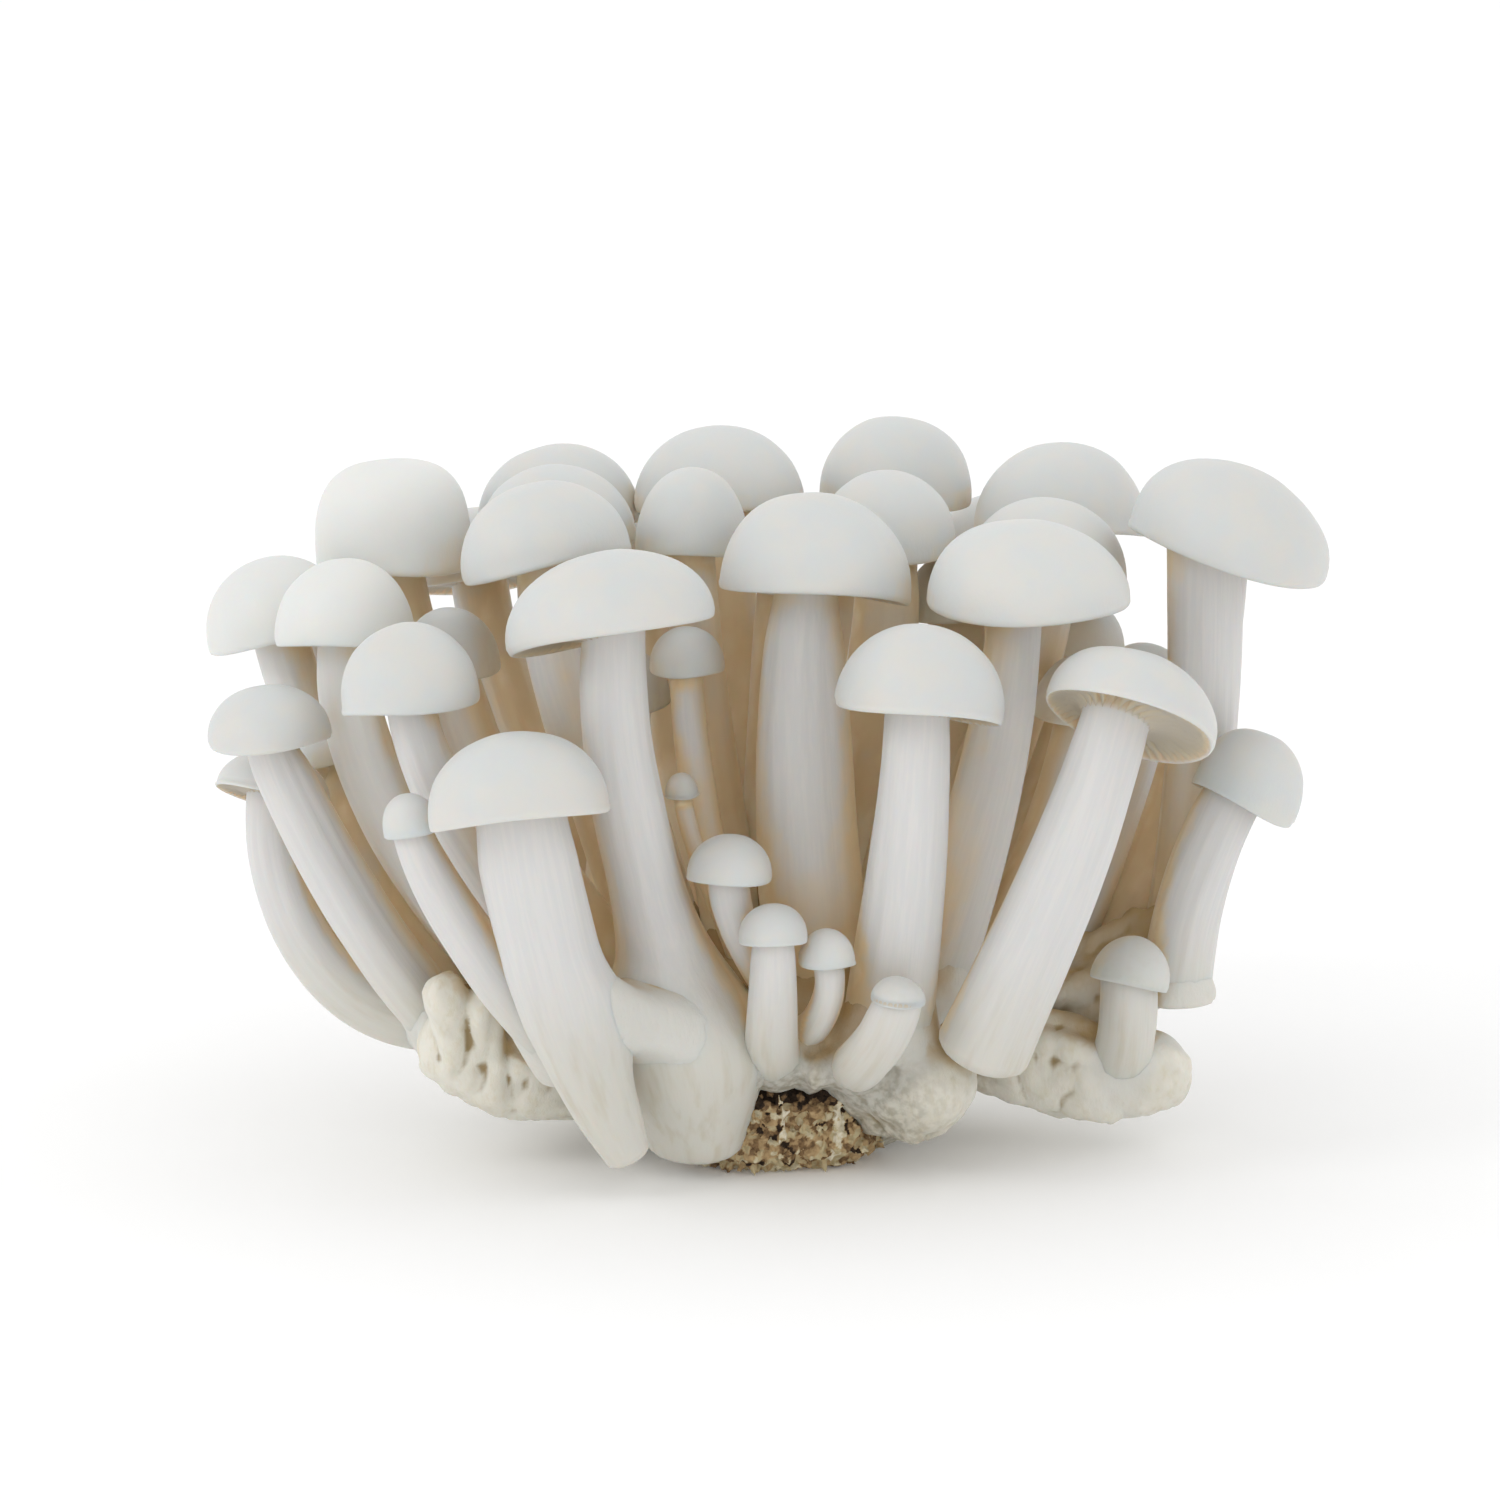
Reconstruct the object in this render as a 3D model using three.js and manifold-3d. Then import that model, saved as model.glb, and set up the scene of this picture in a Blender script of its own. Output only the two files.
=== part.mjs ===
// A cluster of white beech mushrooms, standing on the remnant of the growing medium that it was picked with.
// Millimetres, +Z up. The origin is the middle of the flat underside, and the cluster's broad side faces -Y.
// Each mushroom is one solid: a stem, a domed cap, and gills that run from the stem to the cap's margin.
// The stems stand in holes in the base, which is the knot of fused stem ends with its lobes and buttons.
// The growing medium is a plug of crumbs under the base, which shows at the front.
import * as THREE from "three";
import { mergeVertices } from "three/addons/utils/BufferGeometryUtils.js";
import Module from "manifold-3d";

const wasm = await Module();
wasm.setup();

// ---------- driving dimensions ----------

const GAP = 0.3; // clearance between pieces that touch

// A small cap has fewer gills and fewer steps in its stem. A real cap has about sixty gills: these are
// fewer, and larger than life.
const SMALL_CAP = 5.2; // the largest radius of a small one
const GILLS = { large: 14, small: 7 };
const STEM_STEPS = { large: 5, small: 3 };
const STEM_SIDES = 7;
const SWELL = { place: 0.19, spread: 0.17 }; // where a foot is swollen, in shares of the stem's length

// The cap in section, from the stem out under it and back over it. share: how far it is to the margin, from
// the stem under the cap and from the cap's axis over it. rise: how high, in shares of the cap's height.
// relief: how deep the gills are, in the same shares.
const GILL_RING = { share: 0.5, rise: 0.07, relief: 0.26 };
const MARGIN_RING = { share: 0.95, rise: 0 };
const WIDEST_RISE = 0.09;
const DOME_TURNS = [0, 0.5, 0.98]; // how far each of the dome's rings has turned from the widest to the top
const FULLNESS = 2.08; // the dome's power: at 2 it is an ellipse, and a cap is a little fuller

// cap: the middle of the cap's margin. size: the cap's radius and height. lean: how far the cap's axis goes
// in x and y for each unit of rise. stem: its foot and the two handles of its curve, which ends under the
// cap, at its middle or aside of it. girth: the stem's radius at the foot, along the middle and at the top.
// swell: how much fatter the stem is just over the foot. bare: the foot shows, and is rounded. full: the
// dome's power, if it isn't the usual one.
const FRONT_ROW = [
  {
    cap: [-14.5, -24, 55.2], size: [10.3, 8.2], lean: [-0.2, 0.17],
    stem: [[-6.8, -14, 3.6], [-7.2, -14.5, 20], [-15.8, -23, 38]],
    girth: [3.9, 3.9, 3.1], swell: 4.1, bare: true,
  },
  {
    cap: [-23, -34, 39.5], size: [8.5, 8.2], lean: [-0.12, 0.12],
    stem: [[-13.4, -23.8, 4.6], [-18.2, -25, 15], [-21, -32, 26]],
    girth: [2.3, 5.4, 4.3], bare: true,
  },
  {
    cap: [14.4, -26, 48], size: [7.9, 8.6], lean: [0.13, 0.15],
    stem: [[12, -14.5, 14], [13, -19, 25], [14, -25.5, 36]], girth: [4.3, 4.1, 3.1],
  },
  {
    cap: [34.8, -24, 46.6], size: [8.7, 6.9], lean: [0.36, 0.5],
    stem: [[21.2, -19.5, 14.2], [24, -21, 21], [30.3, -26.5, 35.5]], aside: [-1.5, 0],
    girth: [4.8, 4.2, 3.3], bare: true,
  },
  {
    cap: [-33.9, -22, 47.8], size: [6.5, 8.4], lean: [-0.12, 0.1],
    stem: [[-17, -12, 14], [-21, -15, 24], [-32, -22, 36]], girth: [3.4, 3, 2.4],
  },
  {
    cap: [-33.5, -30, 37.5], size: [2.8, 3.6], lean: [-0.2, -0.1],
    stem: [[-19, -18, 13], [-24.5, -24, 19.5], [-31.5, -29.5, 31]], girth: [3.2, 2.9, 1.9],
  },
];
const TALL_ROW = [
  {
    cap: [5, -10, 57.2], size: [9.6, 9.8], lean: [0.1, 0.12],
    stem: [[5.5, -7.5, 17], [4.4, -10.5, 28], [3.2, -10.5, 44]], aside: [-1, 0], girth: [4.6, 5.9, 3.1],
  },
  {
    cap: [25.4, -14, 56.6], size: [9.6, 8.4], lean: [0, -0.05],
    stem: [[15.5, -8, 16], [19.5, -10.5, 28], [24, -13.5, 44]], aside: [-1.2, 0], girth: [3.8, 3.5, 2.6],
  },
  {
    cap: [45.5, -2, 59.7], size: [10.4, 9.4], lean: [0.28, 0],
    stem: [[41, 6, 16], [44, 8, 28], [44.4, 2.5, 42]], aside: [-2.2, 0], girth: [3.5, 3.5, 3.8],
  },
];
const LEFT_SIDE = [
  {
    cap: [-41.3, -6, 52], size: [6.7, 8.2], lean: [-0.05, 0.03],
    stem: [[-21, -4, 14], [-32, -5, 24], [-42, -6, 38]], girth: [3.6, 3.3, 2.8],
  },
  {
    cap: [-48.8, 6, 50.6], size: [7.4, 8], lean: [-0.2, 0],
    stem: [[-24, 4, 12.5], [-35, 5, 20], [-45.5, 6, 36]], girth: [3.4, 3.2, 2.8],
  },
  {
    cap: [-48.3, -14, 43.2], size: [6.1, 5.6], lean: [-0.05, 0],
    stem: [[-31, -6, 12.5], [-38.5, -8.5, 20], [-45.5, -12.5, 36]], girth: [3.2, 3.2, 2.5],
  },
  {
    cap: [-49.1, -3, 35.6], size: [5.6, 4.6], lean: [0.2, 0.35],
    stem: [[-30.5, -1, 12.6], [-42.5, -2, 11.2], [-50, -4, 24.5]], girth: [3, 3, 2.6],
  },
];
const YOUNG_AT_FOOT = [
  {
    cap: [-3.6, -22, 31.3], size: [4.2, 4.3], lean: [0, 0],
    stem: [[1.5, -12, 16], [-0.5, -17, 21], [-3.5, -22, 27]], girth: [1.6, 1.9, 2],
  },
  {
    cap: [0.7, -26, 26], size: [3.3, 3.6], lean: [0, 0],
    stem: [[1, -14.5, 12], [0.3, -21, 13], [0.8, -26, 20.5]], girth: [2.8, 2.5, 2],
  },
  {
    cap: [6, -24, 23.3], size: [2.7, 3.4], lean: [0, 0],
    stem: [[4.2, -13.5, 14.5], [4, -20, 15.5], [7, -24, 19]], girth: [1.7, 1.6, 1.5],
  },
  {
    cap: [12.6, -27, 20.2], size: [2.7, 2.5], lean: [0.1, 0],
    stem: [[9.3, -15.5, 11.5], [8.2, -21.5, 12.3], [11, -26.5, 15]], girth: [2.6, 2.7, 2.4],
  },
];
const RIGHT_SIDE = [
  {
    cap: [47.3, -5, 35.3], size: [5.3, 7.6], lean: [0.45, 0.1], full: 2.4,
    stem: [[41.3, -1.5, 15], [41.3, -2.5, 22], [43, -4.5, 29]], aside: [-1.2, 0], girth: [3.4, 3.3, 3],
  },
  {
    cap: [36.1, -8.2, 18.1], size: [3.9, 4.6], lean: [0.2, 0.05],
    stem: [[35.4, -3.5, 8.5], [36, -6, 10.5], [36.1, -8.2, 14]], girth: [3, 3, 2.9],
  },
];
const CROWN = [
  {
    cap: [-21.5, -6, 59.3], size: [8.6, 8.4], lean: [-0.2, 0.12],
    stem: [[-10.5, -3, 18], [-13, -4, 31], [-20.5, -6, 46]], girth: [4.2, 3.8, 3],
  },
  {
    cap: [-21, 24, 58.8], size: [8.3, 9], lean: [-0.08, 0.1],
    stem: [[-9.5, 12.5, 15.5], [-13, 16, 30], [-20, 23, 45]], girth: [3.8, 3.5, 2.9],
  },
  {
    cap: [-37.9, 17, 56], size: [8.2, 11], lean: [-0.03, 0.05], full: 3,
    stem: [[-19, 10.5, 13], [-26, 13, 27], [-36.5, 16, 42]], girth: [3.8, 3.5, 3],
  },
  {
    cap: [-7.4, 4, 59.5], size: [5.6, 8.4], lean: [0, 0],
    stem: [[-3, 1, 18.5], [-4, 2, 31], [-7.4, 4, 46]], girth: [3, 2.8, 2.4],
  },
  {
    cap: [-4.5, 21, 61.4], size: [8.6, 8.8], lean: [0, 0.08],
    stem: [[-1.5, 10.5, 17.5], [-3, 13.5, 31], [-4.5, 20, 48]], girth: [4.2, 4.2, 3.2],
  },
  {
    cap: [12.2, 8, 58.6], size: [7.2, 8.6], lean: [0.03, 0],
    stem: [[5.5, 4, 18.5], [8, 5.5, 31], [13, 8, 46]], girth: [3.8, 3.8, 3],
  },
  {
    cap: [13.5, 26, 61.2], size: [7.7, 9.4], lean: [0.03, 0.08],
    stem: [[7.5, 13, 16.5], [9, 17, 31], [13, 25, 48]], girth: [3.6, 3.4, 2.8],
  },
  {
    cap: [28.2, 4, 56.4], size: [8.2, 8.4], lean: [0.05, 0],
    stem: [[14, 1, 17], [18.5, 2.5, 29], [26.5, 4, 44]], girth: [4, 4, 3],
  },
  {
    cap: [30.5, 22, 58.8], size: [9, 9.5], lean: [0, 0.08],
    stem: [[16, 10.5, 15.5], [21.5, 14, 29], [29.5, 21, 46]], girth: [4.2, 4.2, 3.2],
  },
  {
    cap: [-7.8, -5, 48.7], size: [3.6, 4.6], lean: [0, 0],
    stem: [[-3.5, -6, 18.5], [-5, -6, 28], [-7.8, -5, 40]], girth: [1.9, 1.8, 1.7],
  },
  {
    cap: [-8.1, -12, 37.5], size: [1.8, 2.4], lean: [-0.1, 0],
    stem: [[-2, -9.5, 18], [-3.5, -10, 24], [-7.5, -12, 32]], girth: [1, 0.9, 0.9],
  },
  {
    cap: [-21, 9, 59.2], size: [7.8, 8.4], lean: [-0.08, 0.03],
    stem: [[-10.5, 5.5, 17], [-13, 6.5, 31], [-20.5, 9, 46]], girth: [3.8, 3.5, 2.9],
  },
];
// Shorter ones that stand between the rows, under the taller caps.
const INNER = [
  {
    cap: [15, -5, 45], size: [5, 6.2], lean: [0.05, 0],
    stem: [[10.5, -3.5, 18], [12, -4, 26], [15, -5, 36]], girth: [3.3, 3.1, 2.7],
  },
  {
    cap: [31.5, -4, 44], size: [5.2, 6.4], lean: [0.1, 0],
    stem: [[21, -2.5, 14.5], [25, -3, 23], [30.5, -4, 34]], girth: [3.6, 3.3, 2.8],
  },
  {
    cap: [-24, -14, 38], size: [5, 6], lean: [-0.15, 0],
    stem: [[-12, -8.5, 16.5], [-16, -10.5, 22], [-23, -13.5, 30]], girth: [3.6, 3.2, 2.6],
  },
  {
    cap: [-31.3, 3, 47.3], size: [5, 6.6], lean: [-0.1, 0],
    stem: [[-17.5, 2.5, 16], [-21.5, 2.5, 24], [-29, 3, 36]], girth: [3.5, 3.2, 2.6],
  },
  {
    cap: [38.5, 13, 43], size: [5, 5.8], lean: [0.15, 0],
    stem: [[27.5, 7, 14.5], [31.5, 8, 23], [36.5, 12, 34]], girth: [3.9, 3.7, 3],
  },
  {
    cap: [19.5, 13, 51.3], size: [5.2, 7], lean: [0.05, 0.05],
    stem: [[19.5, 4.5, 16], [20, 7, 27], [19.5, 12, 40]], girth: [3.6, 3.5, 2.9],
  },
  {
    cap: [-14, 2, 44], size: [4.8, 6], lean: [-0.05, 0],
    stem: [[-17, -3.5, 16.5], [-15.5, -1, 25], [-14, 1.5, 35]], girth: [3, 2.9, 2.5],
  },
  {
    cap: [1.8, 8, 55], size: [4.2, 5.2], lean: [0, 0],
    stem: [[1, 5.5, 18.5], [0.4, 6, 30], [1.2, 8, 44]], girth: [3.2, 3, 2.6],
  },
  {
    cap: [31.5, 12, 48], size: [5, 6], lean: [0.1, 0],
    stem: [[20.5, 7, 15.5], [25, 8.5, 26], [31, 11.5, 38]], girth: [3.6, 3.4, 2.8],
  },
  {
    cap: [-42.5, 5, 38.5], size: [4.6, 5.4], lean: [-0.2, 0],
    stem: [[-25.5, 1, 12], [-35.5, 1, 15], [-43, 3, 28]], girth: [3.3, 3.2, 2.5],
  },
];
const BACK = [
  {
    cap: [-30, 33, 52], size: [8.2, 8], lean: [-0.15, 0.25],
    stem: [[-14.5, 16, 12], [-19, 21, 25], [-28, 30, 38]], girth: [3.9, 3.6, 3],
  },
  {
    cap: [-11, 39.5, 53], size: [8.6, 8.5], lean: [-0.05, 0.25],
    stem: [[-5, 19, 12], [-7, 25, 23], [-10.5, 36, 38]], girth: [4, 3.7, 3],
  },
  {
    cap: [8, 43, 50], size: [7.5, 7.6], lean: [0.05, 0.25],
    stem: [[3.6, 20, 11.5], [4.5, 27.5, 21], [7.5, 40, 36]], girth: [3.8, 3.4, 2.8],
  },
  {
    cap: [26, 39, 53], size: [8.2, 8], lean: [0.12, 0.2],
    stem: [[12, 18, 12], [16.5, 25, 23], [25, 36, 38]], girth: [3.9, 3.6, 3],
  },
  {
    cap: [48, 20, 55.5], size: [6.8, 6.5], lean: [0.1, 0.1],
    stem: [[29, 8.5, 12], [41, 13, 20], [45.5, 18, 40]], aside: [-1, 0], girth: [3.4, 3.6, 2.8],
  },
  {
    cap: [-46, 22, 47.5], size: [6.5, 7], lean: [-0.2, 0.15],
    stem: [[-23.5, 11, 10.5], [-34, 15, 20], [-44, 20, 34]], girth: [3.3, 3, 2.6],
  },
  {
    cap: [-1.5, 34.5, 29], size: [3.9, 4.4], lean: [0, 0.2],
    stem: [[-1, 20, 8], [-1, 25, 11], [-1.5, 33, 20]], girth: [2.4, 2.2, 1.9],
  },
  {
    cap: [34, 30, 27], size: [4.2, 4.6], lean: [0.15, 0.15],
    stem: [[17.5, 15, 8], [23, 19, 10], [33, 28.5, 18]], girth: [2.4, 2.2, 1.9],
  },
  {
    cap: [-28.5, 25.5, 24], size: [3.4, 4], lean: [-0.15, 0.2],
    stem: [[-18.5, 13.5, 8], [-21.5, 18, 9], [-28, 24.5, 16]], girth: [2.1, 1.9, 1.6],
  },
];
const MUSHROOMS = [FRONT_ROW, TALL_ROW, LEFT_SIDE, YOUNG_AT_FOOT, RIGHT_SIDE, CROWN, INNER, BACK].flat();

// The base: its height and radius at each level. It is oval, fuller to the left and shallow at the front,
// its upper levels move back, and it has a notch at the front where the medium shows.
const BASE_LEVELS = [[0, 11.5], [2, 15.5], [6, 21.5], [11.5, 25], [19.5, 14]];
const BASE_WIDEST = 11.5;
const BASE_SIDES = 20;
const BASE_LEFTWARD = 0.04;
const BASE_FRONT = 0.3; // share of the radius taken off at the front
const BASE_SHIFT = 0.2; // how far back a level's middle is, for each unit of height over the widest
const BASE_TOP = 2; // how far back the middle of the top is
const BASE_ROUND = 4; // the height over which the plain round foot takes on the base's uneven outline

// The notch: the way it faces and half its width in radians, its depth as a share of the radius, and the
// heights between which it fades out.
const NOTCH = { facing: -1.36, half: 0.38, depth: 0.42, from: 7, to: 11.5 };

// Lobes of fused stem that stand out of the base: a curve's points and the radius at each end.
const SADDLE = {
  points: [[-16, -9, 10], [-19.5, -20, 20], [-13.5, -22.8, 21], [-5.5, -18.6, 13.5]],
  girth: [5.2, 3.1],
};
const LEFT_LOBES = [
  { points: [[-15, -6, 9.5], [-22, -9, 8], [-29, -11, 8.5], [-31.3, -11, 13]], girth: [5, 3.3] },
  { points: [[-14, 0, 10], [-22, -2, 9.5], [-28, -3, 9.5], [-32, -3.8, 12]], girth: [6, 3.8] },
];
const RIGHT_LOBES = [
  { points: [[15, 2, 12], [23, -1, 13], [27, -2.5, 5.2], [38.8, -3, 7.8]], girth: [4.6, 4.4] },
  { points: [[15, 5, 13], [25, 5, 11.5], [35, 4, 12], [41, 3.5, 19.5]], girth: [4.6, 4.2] },
  { points: [[8, -6, 10], [11, -10, 9.8], [14, -13, 9.5], [16.3, -15.5, 9.2]], girth: [6, 4.8] },
];
const LOBES = [SADDLE, ...LEFT_LOBES, ...RIGHT_LOBES];
const LOBE_STEPS = 4;
const LOBE_SIDES = 7;

// Buttons that haven't opened: the root, how far they grow from it, and the radius.
const BUTTONS = [
  { root: [-30.5, -12.5, 10.5], growth: [-1.2, -2.5, 9.5], radius: 2.1 },
  { root: [-26.8, -12.5, 9], growth: [-1.2, -2.2, 9.5], radius: 1.8 },
];
const BUTTON_SIDES = 6;

// More of them, round the right side and the back, in the ranges given.
const MORE_BUTTONS = {
  count: 6,
  sector: [0, 3.3], // radians round the base
  height: [5, 11],
  length: [5, 8],
  outwards: 0.9, // growth outwards and upwards for each unit of length
  upwards: 0.8,
  radius: [1.2, 1.9],
  levelRadius: 20, // the base's radius where they root, before its uneven outline
};

// The growing medium: the middle of its plug, and its height and radius at each level.
const MEDIUM_MIDDLE = [0.8, -4.5];
const MEDIUM_LEVELS = [[0, 9], [2.2, 11.3], [7.1, 11.3], [9.5, 9.6]];
const MEDIUM_SIDES = 18;
const CRUMBS = {
  count: 24,
  size: [1, 1.9],
  turn: [-0.9, 0.8], // radians to each side of the notch
  reach: [10.6, 11.5], // from the plug's middle
  height: [2.2, 8.7],
};

// ---------- helpers ----------

// Draws from 0 to 1, the same ones each time for a seed (the minimal standard generator).
function seeded(seed) {
  const [factor, modulus] = [16807, 2147483647];
  let state = seed;
  return () => {
    state = (state * factor) % modulus;
    return state / modulus;
  };
}

const mix = THREE.MathUtils.lerp;
const smoothstep = THREE.MathUtils.smoothstep;
const point = (p) => new THREE.Vector3(...p);
const AXES = [new THREE.Vector3(1, 0, 0), new THREE.Vector3(0, 1, 0), new THREE.Vector3(0, 0, 1)];

// Three directions at right angles: the last along the axis given, the first as near the hint as it can be.
function frameOf(axis, hint = AXES[0]) {
  const up = axis.clone().normalize();
  const across = hint.clone().addScaledVector(up, -up.dot(hint)).normalize();
  return [across, up.clone().cross(across), up];
}

// A closed skin of rings, built from its bottom point up. The rings run anticlockwise seen from above, and
// each has as many points as the last one, or twice or half as many.
class Skin {
  constructor(bottom) {
    this.places = [bottom];
    this.faces = [];
    this.last = [0];
  }

  // A ring about a place. reach and lift depend on the angle and on the point's number.
  ring(middle, [across, along, up], count, reach, lift = () => 0) {
    const ring = Array.from({ length: count }, (_, i) => {
      const angle = (2 * Math.PI * i) / count;
      const place = middle
        .clone()
        .addScaledVector(across, Math.cos(angle) * reach(angle))
        .addScaledVector(along, Math.sin(angle) * reach(angle))
        .addScaledVector(up, lift(angle, i));
      return this.places.push(place) - 1;
    });
    this.join(ring);
    return this;
  }

  join(ring) {
    const steps = Math.max(this.last.length, ring.length);
    const corner = (loop, i) => loop[Math.floor((i * loop.length) / steps + 0.5) % loop.length];
    for (let i = 0; i < steps; i += 1) {
      const [a, b] = [corner(this.last, i), corner(this.last, i + 1)];
      const [c, d] = [corner(ring, i + 1), corner(ring, i)];
      if (a !== b) this.faces.push([a, b, c]);
      if (c !== d) this.faces.push([a, c, d]);
    }
    this.last = ring;
  }

  close(top) {
    this.join([this.places.push(top) - 1]);
    const geometry = new THREE.BufferGeometry().setFromPoints(this.places).setIndex(this.faces.flat());
    return asSolid(geometry);
  }
}

function asSolid(geometry) {
  geometry.deleteAttribute("normal");
  geometry.deleteAttribute("uv");
  const merged = mergeVertices(geometry, 1e-4);
  return new wasm.Manifold(
    new wasm.Mesh({
      numProp: 3,
      vertProperties: new Float32Array(merged.attributes.position.array),
      triVerts: new Uint32Array(merged.index.array),
    }),
  );
}

function asGeometry(solid) {
  const mesh = solid.getMesh();
  return new THREE.BufferGeometry()
    .setAttribute("position", new THREE.Float32BufferAttribute(mesh.vertProperties, 3))
    .setIndex(Array.from(mesh.triVerts));
}

function joined(solids) {
  return solids.reduce((sum, solid) => sum.add(solid));
}

// A solid with the others cut out of it, as far as their boxes meet its own.
function clearOf(solid, others) {
  const box = solid.boundingBox();
  const near = others.filter((other) => {
    const { min, max } = other.boundingBox();
    return [0, 1, 2].every((k) => min[k] < box.max[k] && box.min[k] < max[k]);
  });
  return near.reduce((rest, other) => rest.subtract(other), solid);
}

// Cutting can leave loose scraps: only the largest body is kept.
function largest(solid) {
  return solid.decompose().reduce((a, b) => (a.volume() > b.volume() ? a : b));
}

// A tube along a curve, as a skin that is still open at its end, where its frame is the one given: back
// from there it turns as little as it can. Its start is flat or, if round, a blunt tip with the first steps
// shorter than the others. A clearance moves the start back.
function tube(curve, girthAt, { steps, sides, end, round = false, clearance = 0 }) {
  const stops = Array.from({ length: steps + 1 }, (_, i) => (i / steps) ** (round ? 1.25 : 1));
  const frames = [];
  for (const t of stops.toReversed()) {
    frames.unshift(frameOf(curve.getTangent(t), frames.length ? frames[0][0] : end[0]));
  }
  const before = (share) => curve.getPoint(0).addScaledVector(frames[0][2], -share * girthAt(0) - clearance);
  const skin = new Skin(before(round ? 0.45 : 0));
  skin.ring(before(round ? 0.3 : 0), frames[0], sides, () => (round ? 0.7 : 1) * girthAt(0));
  stops.forEach((t, i) => {
    if (i > 0 || round) skin.ring(curve.getPoint(t), frames[i], sides, () => girthAt(t));
  });
  return skin;
}

// ---------- mushrooms ----------

// Grown by a clearance, a mushroom loses its gills, so that what is cut by it stays clear of them.
function mushroom(shape, index, grow = 0) {
  const { cap, size, lean, stem, girth, aside = [0, 0], swell = 0, bare = false, full = FULLNESS } = shape;
  const [radius, height] = size;
  const kind = radius <= SMALL_CAP ? "small" : "large";
  const gills = GILLS[kind];
  const frame = frameOf(new THREE.Vector3(lean[0], lean[1], 1));
  const middle = point(cap);
  const offset = new THREE.Vector3().addScaledVector(frame[0], aside[0]).addScaledVector(frame[1], aside[1]);
  const curve = new THREE.CubicBezierCurve3(...stem.map(point), middle.clone().add(offset));
  const girthAt = (t) => {
    const plain = (1 - t) ** 2 * girth[0] + 2 * t * (1 - t) * girth[1] + t ** 2 * girth[2];
    return plain + swell * Math.exp(-(((t - SWELL.place) / SWELL.spread) ** 2)) + grow;
  };
  const steps = STEM_STEPS[kind];
  const skin = tube(curve, girthAt, { steps, sides: STEM_SIDES, end: frame, round: bare, clearance: grow });

  // No cap is quite round or quite level: each has its own waver.
  const phase = 2.4 * (index + 1);
  const waver = (angle) => 1 + 0.03 * Math.cos(2 * angle + phase) + 0.02 * Math.cos(3 * angle + 1.7 * phase);
  const droop = (angle) => 0.04 * height * Math.cos(2 * angle + 2 * phase);
  // side: 1 over the cap and -1 under it, the way that a clearance moves the ring.
  const capRing = ({ share, rise, relief = 0 }, count, side) => {
    const inner = side < 0 ? girth[2] : 0;
    const reach = (angle) => mix(inner, radius * waver(angle), share) + grow;
    const lift = (angle, i) => {
      const gill = grow === 0 && i % 2 === 1 ? relief * height : 0;
      return rise * height + droop(angle) * share * (1 - rise) + side * grow + gill;
    };
    skin.ring(middle.clone().addScaledVector(offset, 1 - share), frame, count, reach, lift);
  };
  capRing(GILL_RING, 2 * gills, -1);
  capRing(MARGIN_RING, 2 * gills, -1);
  for (const turn of DOME_TURNS) {
    const rise = mix(WIDEST_RISE, 1, Math.sin(turn) ** (2 / full));
    capRing({ share: Math.cos(turn) ** (2 / full), rise }, gills, 1);
  }
  return skin.close(middle.clone().addScaledVector(frame[2], height + grow));
}

// ---------- base, lobes and buttons ----------

// A tube with a rounded end.
function lobe({ points, girth }, grow = 0) {
  const curve = new THREE.CubicBezierCurve3(...points.map(point));
  const girthAt = (t) => mix(girth[0], girth[1], t) + grow;
  const frame = frameOf(curve.getTangent(1));
  const ahead = (share) => curve.getPoint(1).addScaledVector(frame[2], share * girthAt(1));
  return tube(curve, girthAt, { steps: LOBE_STEPS, sides: LOBE_SIDES, end: frame })
    .ring(ahead(0.55), frame, LOBE_SIDES, () => 0.75 * girthAt(1))
    .close(ahead(0.9));
}

// A knob with a rounded top.
function button({ root, growth, radius }) {
  const [start, direction] = [point(root), point(growth)];
  const frame = frameOf(direction);
  const along = (share) => start.clone().addScaledVector(direction, share);
  return new Skin(start)
    .ring(along(0), frame, BUTTON_SIDES, () => 0.8 * radius)
    .ring(along(0.75), frame, BUTTON_SIDES, () => radius)
    .ring(along(0.94), frame, BUTTON_SIDES, () => 0.6 * radius)
    .close(along(1));
}

// How far the base reaches from its middle: round at its foot, and lumpy over that.
function baseReach(angle, height, radius) {
  const turn = Math.atan2(Math.sin(angle - NOTCH.facing), Math.cos(angle - NOTCH.facing));
  const fade = 1 - smoothstep(height, NOTCH.from, NOTCH.to);
  const notch = NOTCH.depth * Math.exp(-((turn / NOTCH.half) ** 2)) * fade;
  const front = BASE_FRONT * Math.max(0, -Math.sin(angle)) ** 2;
  const lumps = 0.04 * Math.cos(5 * angle + 0.5 * height) + 0.03 * Math.cos(7 * angle + 1 - 0.4 * height);
  const uneven = lumps - front - BASE_LEFTWARD * Math.cos(angle);
  return radius * (1 - notch) * (1 + smoothstep(height, 0, BASE_ROUND) * uneven);
}

function baseBlock(grow = 0) {
  const skin = new Skin(new THREE.Vector3(0, 0, -grow));
  for (const [height, radius] of BASE_LEVELS) {
    const back = BASE_SHIFT * Math.max(0, height - BASE_WIDEST);
    const level = new THREE.Vector3(0, back, height + (height ? grow : -grow));
    skin.ring(level, AXES, BASE_SIDES, (angle) => baseReach(angle, height, radius) + grow);
  }
  return skin.close(new THREE.Vector3(0, BASE_TOP, BASE_LEVELS.at(-1)[0] + grow));
}

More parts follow.
